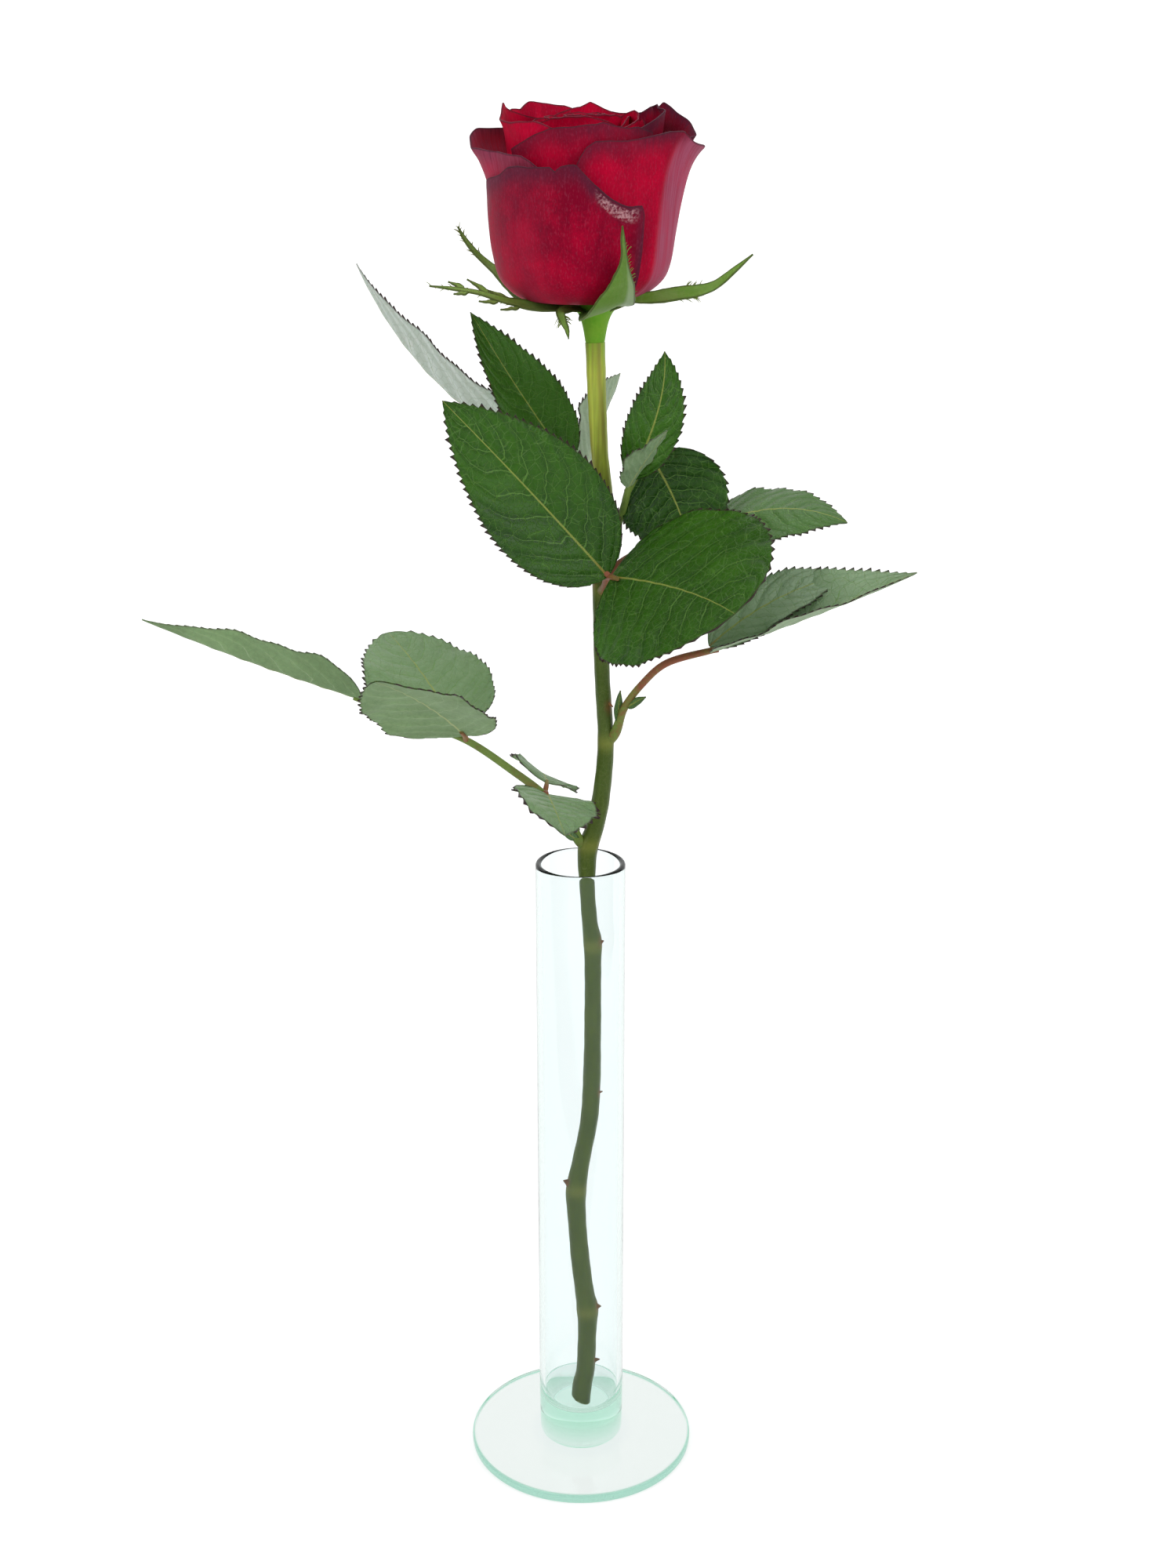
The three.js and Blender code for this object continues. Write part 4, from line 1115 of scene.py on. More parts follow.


# Each leaf: its stalks as routes of x, y, z, radius with their blush at both ends, and its blades.
# A blade's tone value is painted light: paler for painted reflection, palest above 1, and darker
# below 0 for painted shade.
LEAVES = {
    "a": {
        "stalks": [
            ([(6.2, 12.0, 292, 1.6), (7.6, 6.5, 294.8, 1.4), (8.1, -0.5, 299.4, 1.2),
              (7.9, -3.5, 300.8, 0.8)], (0.2, 0.85)),
            ([(8.1, -0.5, 299.2, 1.2), (11.5, 3.5, 302.4, 1.0), (18.5, 11, 305.0, 0.9),
              (30, 13.5, 309.5, 0.8), (42, 9.6, 313.2, 0.7)], (0.85, 0.3)),
            ([(8.1, -0.5, 299.2, 1.1), (9.5, -5.0, 300.0, 0.9), (11, -8, 300.2, 0.6)], (0.85, 0.6)),
        ],
        "blades": [
            leaflet((8.2, -2.6, 299.8), (-15, -5.5, 326), (-39.5, -3, 351.2), (0.15, -0.95, 0.2), 18,
                    outline=(0.62, 1.0), bite=1.2, tone=0.05),
            leaflet((9.3, -4.2, 299.9), (28.5, -22.5, 300.2), (42.5, -47.7, 299), (-0.5, -0.37, 0.78),
                    30.2, outline=(0.45, 0.52), fold=2, bite=1.2, tone=0.12, wave=0.6),
            leaflet((40, 9.9, 312.8), (60, 4.5, 318.5), (78.6, 0, 315.2), (-0.1, -0.41, 0.91), 14.5,
                    outline=(0.4, 1), fold=-8, wave=0.5, tone=0.5),
        ],
    },
    "b": {
        "stalks": [
            ([(7.0, 13.0, 306.5, 1.5), (10.2, 9.0, 310.5, 1.3), (12.4, 5.0, 317.5, 1.1),
              (14.0, 2.4, 324.0, 1.0), (15.0, 2, 330, 0.7)], (0.0, 0.0)),
            ([(14.0, 2.4, 324.0, 1.0), (17.5, 3.9, 330, 0.8), (21, 5.3, 335.5, 0.6)], (0.0, 0.2)),
        ],
        "blades": [
            leaflet((14.6, 2, 328), (22.6, 3, 347.5), (24.5, 6, 364.2), (0.1, -0.98, 0.1), 8,
                    tone=0.3),
            leaflet((14.2, 1.6, 325.5), (19, -6, 334.5), (24.8, -12, 344), (-0.47, 0.56, 0.69), 5.5,
                    fold=30, tone=1.2),
            leaflet((20.5, 5.5, 334.6), (28.6, 6.6, 319.5), (32.5, 7.6, 306.5), (0.05, -0.99, -0.05),
                    16, outline=(0.55, 0.75), fold=6, tone=-0.35),
        ],
    },
    "c": {
        "stalks": [
            ([(6.8, 14.0, 318, 1.5), (5.2, 20.5, 320.5, 1.2), (0.6, 27.5, 323.5, 1.1),
              (-6.2, 33, 327.5, 0.8)], (0.0, 0.1)),
            ([(2.2, 25.5, 322.2, 0.9), (-1.0, 29.0, 325.5, 0.8), (-4.6, 31.0, 329, 0.6)], (0.0, 0.2)),
        ],
        "blades": [
            leaflet((-5.8, 32.8, 327.2), (-44, 46, 350), (-69.8, 60, 385.5), (0.6, 0.34, 0.73), 16,
                    fold=22, tone=1.95),
            leaflet((-3.6, 30.6, 328.3), (-18.5, 26.5, 350.5), (-32.5, 24, 373.8),
                    (0.32, -0.92, 0.07), 12.5, fold=38, tone=0.4),
            leaflet((1.0, 28.6, 323.8), (6.0, 46, 338), (12.5, 62, 351.6), (-0.95, 0.29, 0.05), 11,
                    fold=20, tone=1.4),
        ],
    },
    "d": {
        "stalks": [
            ([(7.6, 11.0, 244, 1.9), (10.8, 8.6, 248.5, 1.6), (13.4, 5.8, 257, 1.2),
              (18.6, 2.4, 265.4, 1.1), (25.8, -2, 273.2, 1.1), (37.5, -6.0, 277.8, 1.0),
              (41, -7.2, 278.6, 0.7)], (0.15, 0.75)),
        ],
        "blades": [
            leaflet((38.5, -6.4, 277.8), (67, -11, 289.4), (97.5, -14, 303.4), (-0.25, -0.27, 0.93),
                    16, fold=35, tone=1.22),
            leaflet((38.5, -5.2, 279.2), (58, -5.5, 293.5), (80, -4, 300.9), (-0.3, -0.72, 0.62), 8.5,
                    fold=14, tone=1.3),
        ],
        "stipules": [
            leaflet((11.6, 7.2, 252), (11.6, 5.6, 258), (12.2, 4.0, 263), (0.6, -0.8, 0), 1.6),
            leaflet((14.4, 4.6, 257.6), (17.2, 2.4, 260), (19.8, 0.6, 262), (0.4, -0.6, 0.6), 1.5),
        ],
    },
    "e": {
        "stalks": [
            ([(2.6, 8.4, 211, 2.0), (-0.4, 7.2, 213.5, 1.7), (-3.4, 5.2, 220, 1.4),
              (-11.2, 2, 230.3, 1.3), (-20, -1.2, 238.6, 1.2), (-34.5, -6, 250.4, 1.1),
              (-50, -9.4, 257.2, 0.9), (-67, -12.4, 265.4, 0.7)], (0.1, 0.05)),
            ([(-34.5, -6, 250.4, 1.0), (-37.2, -4.0, 252.6, 0.8), (-39, -2, 254.6, 0.6)], (0.8, 0.5)),
            ([(-34.5, -6, 250.4, 1.0), (-34.6, -9.0, 252.6, 0.8),
              (-35.4, -12, 254.6, 0.6)], (0.8, 0.5)),
            ([(-11.2, 2, 230.3, 0.9), (-10.6, -0.8, 232, 0.8),
              (-10.2, -3.6, 232.4, 0.6)], (0.8, 0.5)),
            ([(-11.2, 2, 230.3, 0.9), (-10.6, 4.8, 232, 0.8), (-10.4, 7.6, 233, 0.6)], (0.8, 0.5)),
        ],
        "blades": [
            leaflet((-64.5, -12, 264.6), (-95, -16, 276.6), (-126.3, -20, 290.9), (0.3, 0.42, 0.86),
                    13, fold=34, bite=0.4, tone=0.95),
            leaflet((-37.6, -3, 253.2), (-48, 12, 265), (-60.5, 29, 275), (0.27, -0.41, 0.88), 20.5,
                    outline=(0.5, 0.7), fold=5, tone=1.05),
            leaflet((-34.4, -9.4, 252.8), (-45, -26, 267.2), (-57, -43, 278.6), (-0.04, 0.42, 0.9),
                    18.5, outline=(0.5, 0.7), fold=-10, tone=0.2),
            leaflet((-10.2, -3, 232.2), (-7.5, -15, 230.6), (-4.6, -27, 227.4), (0.37, -0.15, 0.93),
                    13.5, bite=1.5, tone=1.05),
            leaflet((-10.4, 7, 232.6), (-12, 19, 231.6), (-12.5, 33, 226), (0.5, -0.05, 0.86), 11.5,
                    fold=6, tone=0.8),
        ],
        "stipules": [
            leaflet((-0.6, 6.6, 214), (-4.2, 3.4, 218), (-7.4, 1.0, 224.5), (-0.4, -0.9, 0), 1.8),
            leaflet((-1.2, 7.6, 215), (-2.4, 6.6, 221), (-5.2, 5.4, 228), (0.6, 0.7, 0.2), 1.6),
        ],
    },
}


def shared_material(name, make, *given):
    """The material of that name, made once."""
    return bpy.data.materials.get(name) or make(*given)


def leaf_piece(letter, given):
    """One compound leaf: its leaflets, stipules and stalks in one piece."""
    faces = (shared_material("leaf_upper", leaf_top_material, given),
             shared_material("leaf_lower", leaf_under_material, given))
    stalk = shared_material("leaf_stalk", stalk_material, given)
    pitch = given.tooth_pitch / MM
    depth = given.tooth_depth / MM
    thickness = given.thickness / MM
    table = LEAVES[letter]
    parts = [blade_piece(spec, pitch, depth, thickness, *faces) for spec in table["blades"]]
    for spec in table.get("stipules", []):
        parts.append(blade_piece({**STIPULE, **spec}, pitch, STIPULE_TOOTH, thickness, *faces))
    parts += [paint(stalk_piece(route, tone), stalk) for route, tone in table["stalks"]]
    return smooth(join(f"rose_leaf_{letter}", parts), 50)


# ---------------------------------------------------------------- calyx

# Each sepal: the line of its rib, its half width along it, where its inner face looks, and lobes
# of place along, side and length. Hairs stand between two places along it, on both margins (-1
# and 1) or on the hair_sides listed, one for each time that a side is named. Turned is the side
# that folds over, from which place across, and how far.
SEPALS = {
    "front": {
        "line": [(3.0, 11, 376.0), (4.6, 3, 375.6), (6.8, -4, 376.2), (9.4, -10.3, 378.6),
                 (11.3, -13.2, 382.8), (11.9, -14.6, 387), (12.2, -15.2, 390), (12.2, -15.6, 393),
                 (11.9, -15.9, 396.5), (11.8, -16.2, 400.2)],
        "shape": [(0, 3.4), (0.11, 5.6), (0.22, 6.8), (0.33, 6.7), (0.44, 4.5), (0.56, 2.5),
                  (0.67, 1.35), (0.78, 0.8), (0.9, 0.7), (1, 0.1)],
        "up": (-0.5, 0.7, 0.52), "fold": 8, "turned": (-1, 0.45, 1.8), "lobes": [],
        "hairs": (0.3, 0.8), "hair_sides": (-1, -1, -1),
    },
    "right": {
        "line": [(9, 13, 376.8), (14.5, 8.6, 378.4), (18, 7.6, 379.0), (23.2, 7.2, 379.6),
                 (28.5, 7.0, 380.4), (34, 6.8, 381.2), (39, 6.6, 383.0), (44.5, 6.2, 387.3),
                 (49.4, 6, 391.4)],
        "shape": [(0, 2.6), (0.14, 1.0), (0.28, 1.7), (0.42, 2.3), (0.56, 2.1), (0.7, 1.5),
                  (0.85, 1.0), (1, 0.1)],
        "up": (-0.2, -0.86, 0.48), "fold": 12, "lobes": [], "hairs": (0.5, 0.6),
    },
    "left": {
        "line": [(-1, 12, 376.2), (-5, 9, 376.2), (-10.8, 6, 376.4), (-17, 3, 377.6),
                 (-22, 0, 379.0), (-28.8, -1, 381.2), (-35.5, -2, 382.4), (-42.5, -2.4, 383.2)],
        "shape": [(0, 3.4), (0.25, 3.0), (0.45, 2.1), (0.65, 1.3), (0.85, 0.8), (1, 0.1)],
        "up": (0, -0.5, 0.86), "fold": 18, "tone": 0.12, "hairs": (0.5, 0.95),
        "lobes": [(0.46, -1, 7), (0.6, -1, 5), (0.5, 1, 6), (0.66, 1, 6), (0.78, -1, 3.5),
                  (0.8, 1, 4)],
    },
    "behind": {
        "line": [(0, 18, 376.2), (-8, 20.5, 376.4), (-17, 23, 377.8), (-20.8, 26, 380.9),
                 (-24.5, 29, 384.7), (-27.8, 31, 387.3), (-31.3, 32, 390.6), (-34.6, 33, 394.7),
                 (-36.4, 34, 397.8)],
        "shape": [(0, 3), (0.2, 2.4), (0.5, 1.9), (0.7, 1.3), (0.88, 0.7), (1, 0.1)],
        "up": (0.55, -0.62, 0.56), "fold": 14, "lobes": [], "hairs": (0.7, 0.95),
    },
    "hanging": {
        "line": [(1, 11, 376.2), (-3, 5.6, 376.4), (-5.4, 2.8, 375.6), (-4.7, 2.2, 373),
                 (-3.7, 1.9, 370.7), (-3.2, 1.8, 368.1)],
        "shape": [(0, 2.2), (0.35, 1.5), (0.6, 0.95), (0.85, 0.6), (1, 0.1)],
        "up": (-0.2, -0.8, 0.4), "fold": 14, "tone": 0.1, "teeth": 9, "tooth": 0.5,
        "lobes": [], "hairs": (0.5, 0.6),
    },
}


SEPAL_SHARE = 1.2                 # how much thicker a sepal is than a leaflet
LOBE = {"fold": 10, "quilt": 0, "wave": 0.2, "teeth": 5, "columns": 9, "tone": 0.15}
HAIR_TONE = 0.35
HAIR_RADII = (0.13, 0.13 * 0.8, 0.13 * 0.35)
HAIRS = 9                         # hairs on each margin of a sepal


def sepal_parts(spec, inner, outer, thickness, seed):
    """One sepal with its side lobes and the hairs on its margins."""
    rng = np.random.default_rng(seed)
    plain = {"quilt": 0, "wave": 0.4, "teeth": 12, "columns": 21, **spec}
    parts = [blade_piece(plain, 3.0, spec.get("tooth", 0.25), thickness, inner, outer)]
    u = np.linspace(0, 1, 101)
    centre, tangent, side = rib_frame(spec, u)
    knots, halves = zip(*spec["shape"])
    reach = np.interp(u, knots, halves)
    for along, hand, length in spec["lobes"]:
        k = round(along * 100)
        start = centre[k] + side[k] * hand * reach[k] * 0.7
        away = unit(tangent[k] * 0.85 + side[k] * hand * 0.6) * length
        tip = start + away + tangent[k] * 0.3 * length
        lobe = leaflet(start, start + away * 0.5, tip, spec["up"], 0.9, **LOBE)
        parts.append(blade_piece(lobe, 1.5, 0.2, thickness, inner, outer))
    for along in np.linspace(*spec["hairs"], HAIRS):
        for hand in spec.get("hair_sides", (-1, 1)):
            k = min(100, round((along + 0.05 * rng.random()) * 100))
            start = centre[k] + side[k] * hand * reach[k] * 0.9
            away = unit(tangent[k] * (0.5 + rng.random()) + side[k] * hand)
            tip = start + away * (0.8 + 1.6 * rng.random())
            places = bent_spike(start, tip, 0.15, HAIR_RADII, 6, 6)
            values = plain_values(places.shape[:2], HAIR_TONE)
            parts.append(paint(weld(grid_piece("hair", places, values)), inner))
    return parts


def hip_piece():
    """The rounded hip between the stem and the petals."""
    x, y = STEM_ROUTE[-1][:2]
    profile = [(0, HIP_FOOT - 1.4), (2.6, HIP_FOOT - 1.2), (2.95, HIP_FOOT), (3.3, 368.8),
               (3.9, 371.6), (4.8, 374.0), (6.2, 375.7), (7.3, 376.7), (7.6, HIP_TOP - 0.2),
               (6.8, HIP_TOP + 0.3), (0, HIP_TOP + 0.3)]
    obj = turned_piece("hip", profile, 24, x, y)
    modify(obj, "SUBSURF", levels=2, render_levels=2)
    set_values(obj, plain_values(len(obj.data.vertices), 0.0))
    if not obj.data.uv_layers:
        obj.data.uv_layers.new(name="UVMap")
    return obj


def calyx_piece(given, blades):
    """The hip and its five sepals in one piece."""
    inner, outer = (
        sepal_material(f"sepal_{face}", given, blades.edge, shaded(given.green, light),
                       shaded(given.pale, light))
        for face, light in (("inner", 1.15), ("outer", 0.85))
    )
    skin = sepal_material("hip_skin", given, blades.edge, given.hip_green, given.hip_pale)
    thickness = SEPAL_SHARE * blades.thickness / MM
    parts = [paint(hip_piece(), skin)]
    for seed, spec in enumerate(SEPALS.values(), 3):
        parts += sepal_parts(spec, inner, outer, thickness, seed)
    return smooth(join("rose_calyx", parts), 50)


# ---------------------------------------------------------------- bloom

PETAL_TOP = 53.55                 # the highest that a petal stands over the bloom's base


def petal(profile, rim, hem, wave, turn, curls=(), **more):
    """A petal's middle line, as distance from the bloom's axis and height, and its rim.

    The rim is bearing from the front in degrees (right is positive), height and radius. Hem turns
    the left and right margins outwards, wave ripples the rim, turn shifts the ripple, and a curl
    rolls the rim outwards between two bearings. More can be: creases, ridges that run from one
    bearing at the root to another at the rim; dust and shine, zones of painted grazing sheen and a
    painted highlight on a rolled rim; tone, painted shade that darkens it below 0.
    """
    return {"profile": profile, "rim": rim, "hem": hem, "wave": wave, "turn": turn,
            "curls": curls, **more}


# Each petal's tone value is painted shade: the front left, back right and inner right petals are
# painted darker.
PETALS = {
    "front_left": petal(
        [(3, 0), (10, -1.2), (18, -1), (24.5, 4), (27, 12), (28, 21), (28.2, 29), (28.4, 34),
         (28.6, 36.5)],
        [(-100, 27, 27.5), (-85, 31.5, 28), (-70, 33.0, 28.4), (-56, 34.1, 28.6), (-47, 36.2, 28.8),
         (-40, 36.5, 28.6), (-33, 35.7, 28.6), (-25.5, 35.8, 28.6), (-19.5, 35.9, 28.6),
         (-16.7, 34.6, 28.4), (-14, 35.9, 28.5), (-9.3, 36.4, 28.6), (-5, 36.6, 28.6),
         (-2, 35.0, 28.2), (1.6, 33.3, 27.8), (6, 31.4, 27.5), (10.3, 29.8, 27.5), (15, 28.2, 27.6),
         (20, 27, 27.8), (26, 26.0, 28.6), (31.2, 25.9, 30), (33, 23.2, 28.2)],
        curls=[(4, 31, 1.7), (-52, -34, 0.5)], hem=(0.2, 1.6), wave=0.35, turn=0.4,
        dust=[((-120, -105), 35, -10, 0.12)], shine=[(5, 31, 0.6, 4.6, 0.85)], tone=-0.55,
    ),
    "front_right": petal(
        [(3, 0), (9, -1), (16, 0), (21.5, 4), (23.4, 9), (24, 18), (24.2, 26), (24.6, 34), (25.4, 40),
         (25.9, 44.3)],
        [(-6, 36, 23.8), (-3, 38.6, 24.3), (1, 41.2, 24.2), (7, 42.7, 24), (17, 43.1, 24.2),
         (29, 42.9, 24.4), (40, 43.6, 25), (52, 44.3, 25.9), (60, 45.2, 27.2), (68, 45.3, 28.8),
         (73, 43.9, 29.9), (78, 42.8, 31.0), (84, 42.2, 32.3), (91, 41.8, 33.6), (98, 40.6, 33.4),
         (118, 36, 30)],
        curls=[(60, 110, 0.8)], hem=(0.4, 0.4), wave=0.3, turn=1.7, creases=[((47, 66), 5.5, 0.5)],
        dust=[((47, 68), 8, 140, 0.9)],
    ),
    "back_left": petal(
        [(3, 0), (9, -0.5), (17, 1), (23, 6), (25.5, 13), (26.6, 22), (27.2, 29), (28.2, 33),
         (29.8, 37), (31.3, 40), (32, 43.5)],
        [(-150, 43, 28), (-125, 46.3, 29), (-105, 46, 31.5), (-95, 44, 32.3), (-89, 41, 31.8),
         (-65.6, 40.1, 27.2), (-41, 38.6, 26.4), (-35, 37.2, 26), (-28, 35, 25.5)],
        curls=[(-110, -80, 0.6)], hem=(0.4, 0.2), wave=0.4, turn=2.9,
        dust=[((-160, -150), 8, -20, 0.5)],
    ),
    "back_right": petal(
        [(3, 0), (9, 0), (16, 2), (21, 8), (22.8, 20), (24, 34), (25.5, 44), (27, 50), (27.6, 53.6)],
        [(70, 42, 26.2), (85, 44.1, 30.6), (96, 47.1, 29.6), (110, 50.5, 28.3), (123, 53.6, 27.6),
         (130, 51.5, 27.4), (150, 50, 27), (170, 46, 26)],
        curls=[(80, 105, 0.8)], hem=(0.3, 0.5), wave=0.4, turn=4.2, tone=-0.8,
    ),
    "back": petal(
        [(3, 0), (10, -0.5), (18, 0.5), (24, 8), (26, 19), (26.8, 30), (29, 38), (31.6, 41.5),
         (33.4, 42.6)],
        [(128, 36, 30), (145, 40.5, 32.5), (165, 42.5, 33.4), (183, 43.4, 33.8), (200, 42.6, 33.6),
         (218, 41, 32.8), (236, 36, 30)],
        curls=[(135, 230, 1.4)], hem=(0.8, 0.8), wave=0.6, turn=5.1,
    ),
    "inner_front": petal(
        [(3, 1), (10, 2), (17, 7), (20.5, 15), (21.6, 25), (21.9, 35), (22.1, 42), (22.3, 46)],
        [(-58, 40.4, 23.4), (-50, 42.2, 23.2), (-35, 44.9, 22.9), (-26, 46.3, 22.5),
         (-7.7, 46.6, 22.4), (7.5, 47, 22), (13, 47.6, 22), (20, 46.7, 22), (34, 46.3, 22),
         (42, 46.6, 22), (52, 46, 21.4), (62, 45, 21)],
        hem=(0.3, 0.2), wave=0.35, turn=0.9,
    ),
    "inner_left": petal(
        [(3, 1), (9.5, 3), (16, 9), (19.5, 18), (21, 28), (21.6, 38), (22.2, 44), (22.7, 48.5)],
        [(-140, 49, 21.5), (-105, 51, 22.2), (-99, 51.6, 22.6), (-95, 53, 23), (-91, 51.4, 23.2),
         (-88, 50.3, 23.2), (-82, 48.7, 23.7), (-62, 48, 22.9), (-52, 47.9, 22.3), (-40, 47.9, 21.7),
         (-32, 47, 21.2), (-25, 46, 20.8), (-18, 44, 20.4)],
        curls=[(-96, -50, 0.7)], hem=(0.2, 0.2), wave=0.3, turn=3.5,
    ),
    "inner_right": petal(
        [(3, 1), (9.5, 3), (15.5, 10), (18.5, 20), (20, 30), (20.8, 40), (21.6, 46), (22.2, 51)],
        [(40, 45, 20), (60, 47.5, 20.8), (75, 49.5, 21.8), (85, 50.8, 22.4), (97, 53.1, 22),
         (115, 52.1, 21), (130, 50, 20), (142, 48, 19)],
        curls=[(84, 112, -1.6)], hem=(0.2, 0.2), wave=0.3, turn=2.2, tone=-0.5,
    ),
    "rear_left": petal(
        [(3, 1), (9.5, 4), (16, 12), (19.5, 24), (20.6, 36), (22.4, 46), (24.2, 53)],
        [(-196, 49, 21.6), (-182, 51.2, 22.4), (-174, 51.6, 23.5), (-165, 52.6, 24),
         (-150, 52.9, 24.3), (-140, 53.6, 24.7), (-128, 51.6, 24.3), (-115, 51.7, 24),
         (-104, 49, 23)],
        hem=(0.2, 0.3), wave=0.45, turn=1.1,
    ),
    "rear_right": petal(
        [(3, 1), (9, 5), (15, 13), (18, 24), (19, 36), (20, 46), (20.6, 52.6)],
        [(118, 47, 19.5), (128, 49.6, 19.8), (145, 50.4, 20.2), (158, 51.0, 20.4), (168, 52.4, 20.6),
         (176, 53.4, 20.8), (184, 52.0, 20.6), (200, 50.8, 20.2), (216, 48.5, 19.6)],
        hem=(0.2, 0.2), wave=0.4, turn=5.8,
    ),
    "heart_right": petal(
        [(3, 2), (8, 6), (12.5, 14), (14.6, 26), (15.2, 38), (15.4, 45), (15.6, 50)],
        [(34, 45.5, 16.4), (55, 47.4, 16.2), (70, 48.6, 16), (84, 49.8, 15.2), (95, 50.9, 13.8),
         (112, 50.4, 13), (135, 48.6, 12.6)],
        hem=(0.2, 0.2), wave=0.3, turn=0.2,
    ),
}

# The heart: how many petals wind in, from which radius to which, and how high their rims stand.
HEART_COUNT = 9
HEART_RADII = (16.2, 3.2)
HEART_HEIGHTS = (50.6, 51.4)


def heart_petals():
    """Petals that wind in to the middle by the golden angle, each steeper and more wrapped."""
    petals = {}
    rng = np.random.default_rng(5)
    for k in range(HEART_COUNT):
        share = k / (HEART_COUNT - 1)
        radius = HEART_RADII[0] + (HEART_RADII[1] - HEART_RADII[0]) * share**0.85
        height = HEART_HEIGHTS[0] + (HEART_HEIGHTS[1] - HEART_HEIGHTS[0]) * share
        height -= 1.6 * rng.random()
        turn = 205 + GOLDEN_TURN * k
        span = 62 + 34 * share
        rim = []
        for place_on in np.linspace(-1, 1, 9):
            fall = 4.2 * abs(place_on) ** 2.6
            uneven = 0.5 * rng.random()
            rim.append((turn + place_on * span, height - fall - uneven,
                        radius * 1.04 + 0.9 * place_on))
        profile = [(2, 5), (radius * 0.72, 9 + 5 * share), (radius * 0.96, 22),
                   (radius, 36), (radius, height - 5), (radius * 1.03, height)]
        petals[f"heart_{k + 1}"] = petal(profile, rim, (0.1, 0.3), 0.25, float(k),
                                         [(turn - 30, turn + 30, 0.55)])
    return petals


def petal_places(spec, columns=97, rows=49):
    """Rows of points of one petal, with the values and the UV map for its materials.

    Values from root to rim are columns and values across the petal are rows, so they combine.
    """
    bearings, heights, radii = np.array(spec["rim"], float).T
    start, end = bearings[0], bearings[-1]
    middle = (start + end) / 2
    s = np.linspace(-1, 1, columns)
    s = s * (1.12 - 0.12 * s**2)
    bearing = middle + s * (end - start) / 2
    rim_z = np.interp(bearing, bearings, heights)
    rim_r = np.interp(bearing, bearings, radii)
    rim_r = np.convolve(np.pad(rim_r, 1, mode="edge"), (0.25, 0.5, 0.25), mode="valid")
    t = (1 - (1 - np.linspace(0, 1, rows)) ** 1.25)[:, None]
    fine = np.linspace(0, 1, 241)
    fine_r, fine_z = spline(spec["profile"], fine).T
    lowest = int(fine_z.argmin())
    reach = np.interp(rim_z, fine_z[lowest:], fine[lowest:])
    r = np.interp(t * reach, fine, fine_r) + (rim_r - np.interp(reach, fine, fine_r)) * t**2.4
    z = np.interp(t * reach, fine, fine_z) + (rim_z - np.interp(reach, fine, fine_z)) * t**2
    for low, high, outwards in spec["curls"]:
        roll = between(low, high, 0.3 * (high - low), bearing)
        roll = roll * np.clip((t - 0.86) / 0.14, 0, 1) ** 2
        r = r + outwards * roll
        z = z - 0.35 * abs(outwards) * roll**2
    for (at_root, at_rim), width, height in spec.get("creases", []):
        centre = at_root + (at_rim - at_root) * t**2.5
        r = r + height * np.exp(-(((bearing - centre) / width) ** 2)) * ease(0.1, 0.5, t)
    for outwards, side in zip(spec["hem"], (-s, s)):
        r = r + outwards * np.clip((side - 0.8) / 0.2, 0, 1) ** 2 * ease(0.1, 0.6, t)
    turn = spec["turn"]
    ripple = spec["wave"] * np.sin(5.5 * s + turn) * t**4
    ripple = ripple + 0.12 * np.sin(19 * s + 2 * turn) * t**8
    r = r + ripple + 0.35 * np.sin(3.1 * s + turn) * np.sin(math.pi * t)
    z = np.minimum(z + 0.5 * ripple, PETAL_TOP)
    angle = np.radians(middle + (bearing - middle) * (0.6 + 0.4 * ease(0, 0.35, t)))
    places = np.stack([
        BLOOM_AXIS[0] + r * np.sin(angle),
        BLOOM_AXIS[1] - r * np.cos(angle),
        BLOOM_BASE + z,
    ], axis=-1)
    steps = np.linalg.norm(np.diff(places, axis=0), axis=2)
    run = np.vstack([np.zeros((1, columns)), np.cumsum(steps, axis=0)])
    to_rim = run[-1] - run
    over_notch = to_rim + np.clip(smoothed(rim_z, 9) - rim_z, 0, 3) * ease(0.6, 3, to_rim)
    half = r * np.radians(end - start) / 2
    values = {
        "edge_mm": np.minimum(over_notch, 0.15 + 2.2 * (1 - np.abs(s)) * half),
        "tone": np.full(to_rim.shape, spec.get("tone", 0.0)),
        **petal_marks(spec, bearing, t, to_rim),
    }
    return places, values, np.stack(np.broadcast_arrays(bearing / 120 + 2, t), axis=-1)


def petal_marks(spec, bearing, t, to_rim):
    """Where a petal takes painted grazing sheen and where its rolled rim takes a painted highlight, 0
    to 1.
    """
    dust = np.zeros(to_rim.shape)
    shine = np.zeros(to_rim.shape)
    for (at_root, at_rim), soft, high, amount in spec.get("dust", []):
        edge = at_root + (at_rim - at_root) * t**2.5
        dust = np.maximum(dust, amount * between(edge, high, soft, bearing))
    for low, high, near, far, amount in spec.get("shine", []):
        band = ease(near, near + 0.5, to_rim) * ease(far, far - 0.9, to_rim)
        shine = np.maximum(shine, amount * between(low, high, 5, bearing) * band)
    return {"dust": dust, "shine": shine}


def petal_piece(name, spec, given, outside, inside):
    """One petal as a closed thin solid."""
    places, values, uv = petal_places(spec)
    obj = paint(set_uv(grid_piece(name, places, values), uv), outside, inside)
    return smooth(thicken(obj, given.thickness / MM), 60)


def receptacle_piece():
    """The green seat of the petals, hidden down among them."""
    x, y = BLOOM_AXIS
    foot = HIP_TOP + 0.3
    profile = [(0, foot), (6, foot), (8.2, foot + 1.4), (8.8, 383), (8.6, 388), (6.4, 396),
               (3.4, 406), (0, 411)]
    return smooth(turned_piece("bloom_seat", profile, 48, x, y), 60)


# ---------------------------------------------------------------- stage


# Places of the lights and the camera, in metres, with each light's share of the full power.
LIGHTS = {
    "key_light": ((-1.0, -1.0, 1.1), 1.0),
    "fill_light": ((1.1, -0.8, 0.8), 0.8),
    "top_light": ((0.0, 0.2, 1.6), 0.6),
}
LIGHT_AIM = (0.0, 0.0, 0.26)
LIGHT_WIDTH = 1.0
CAMERA_PLACE = (0.002337, -0.58315, 0.42461)


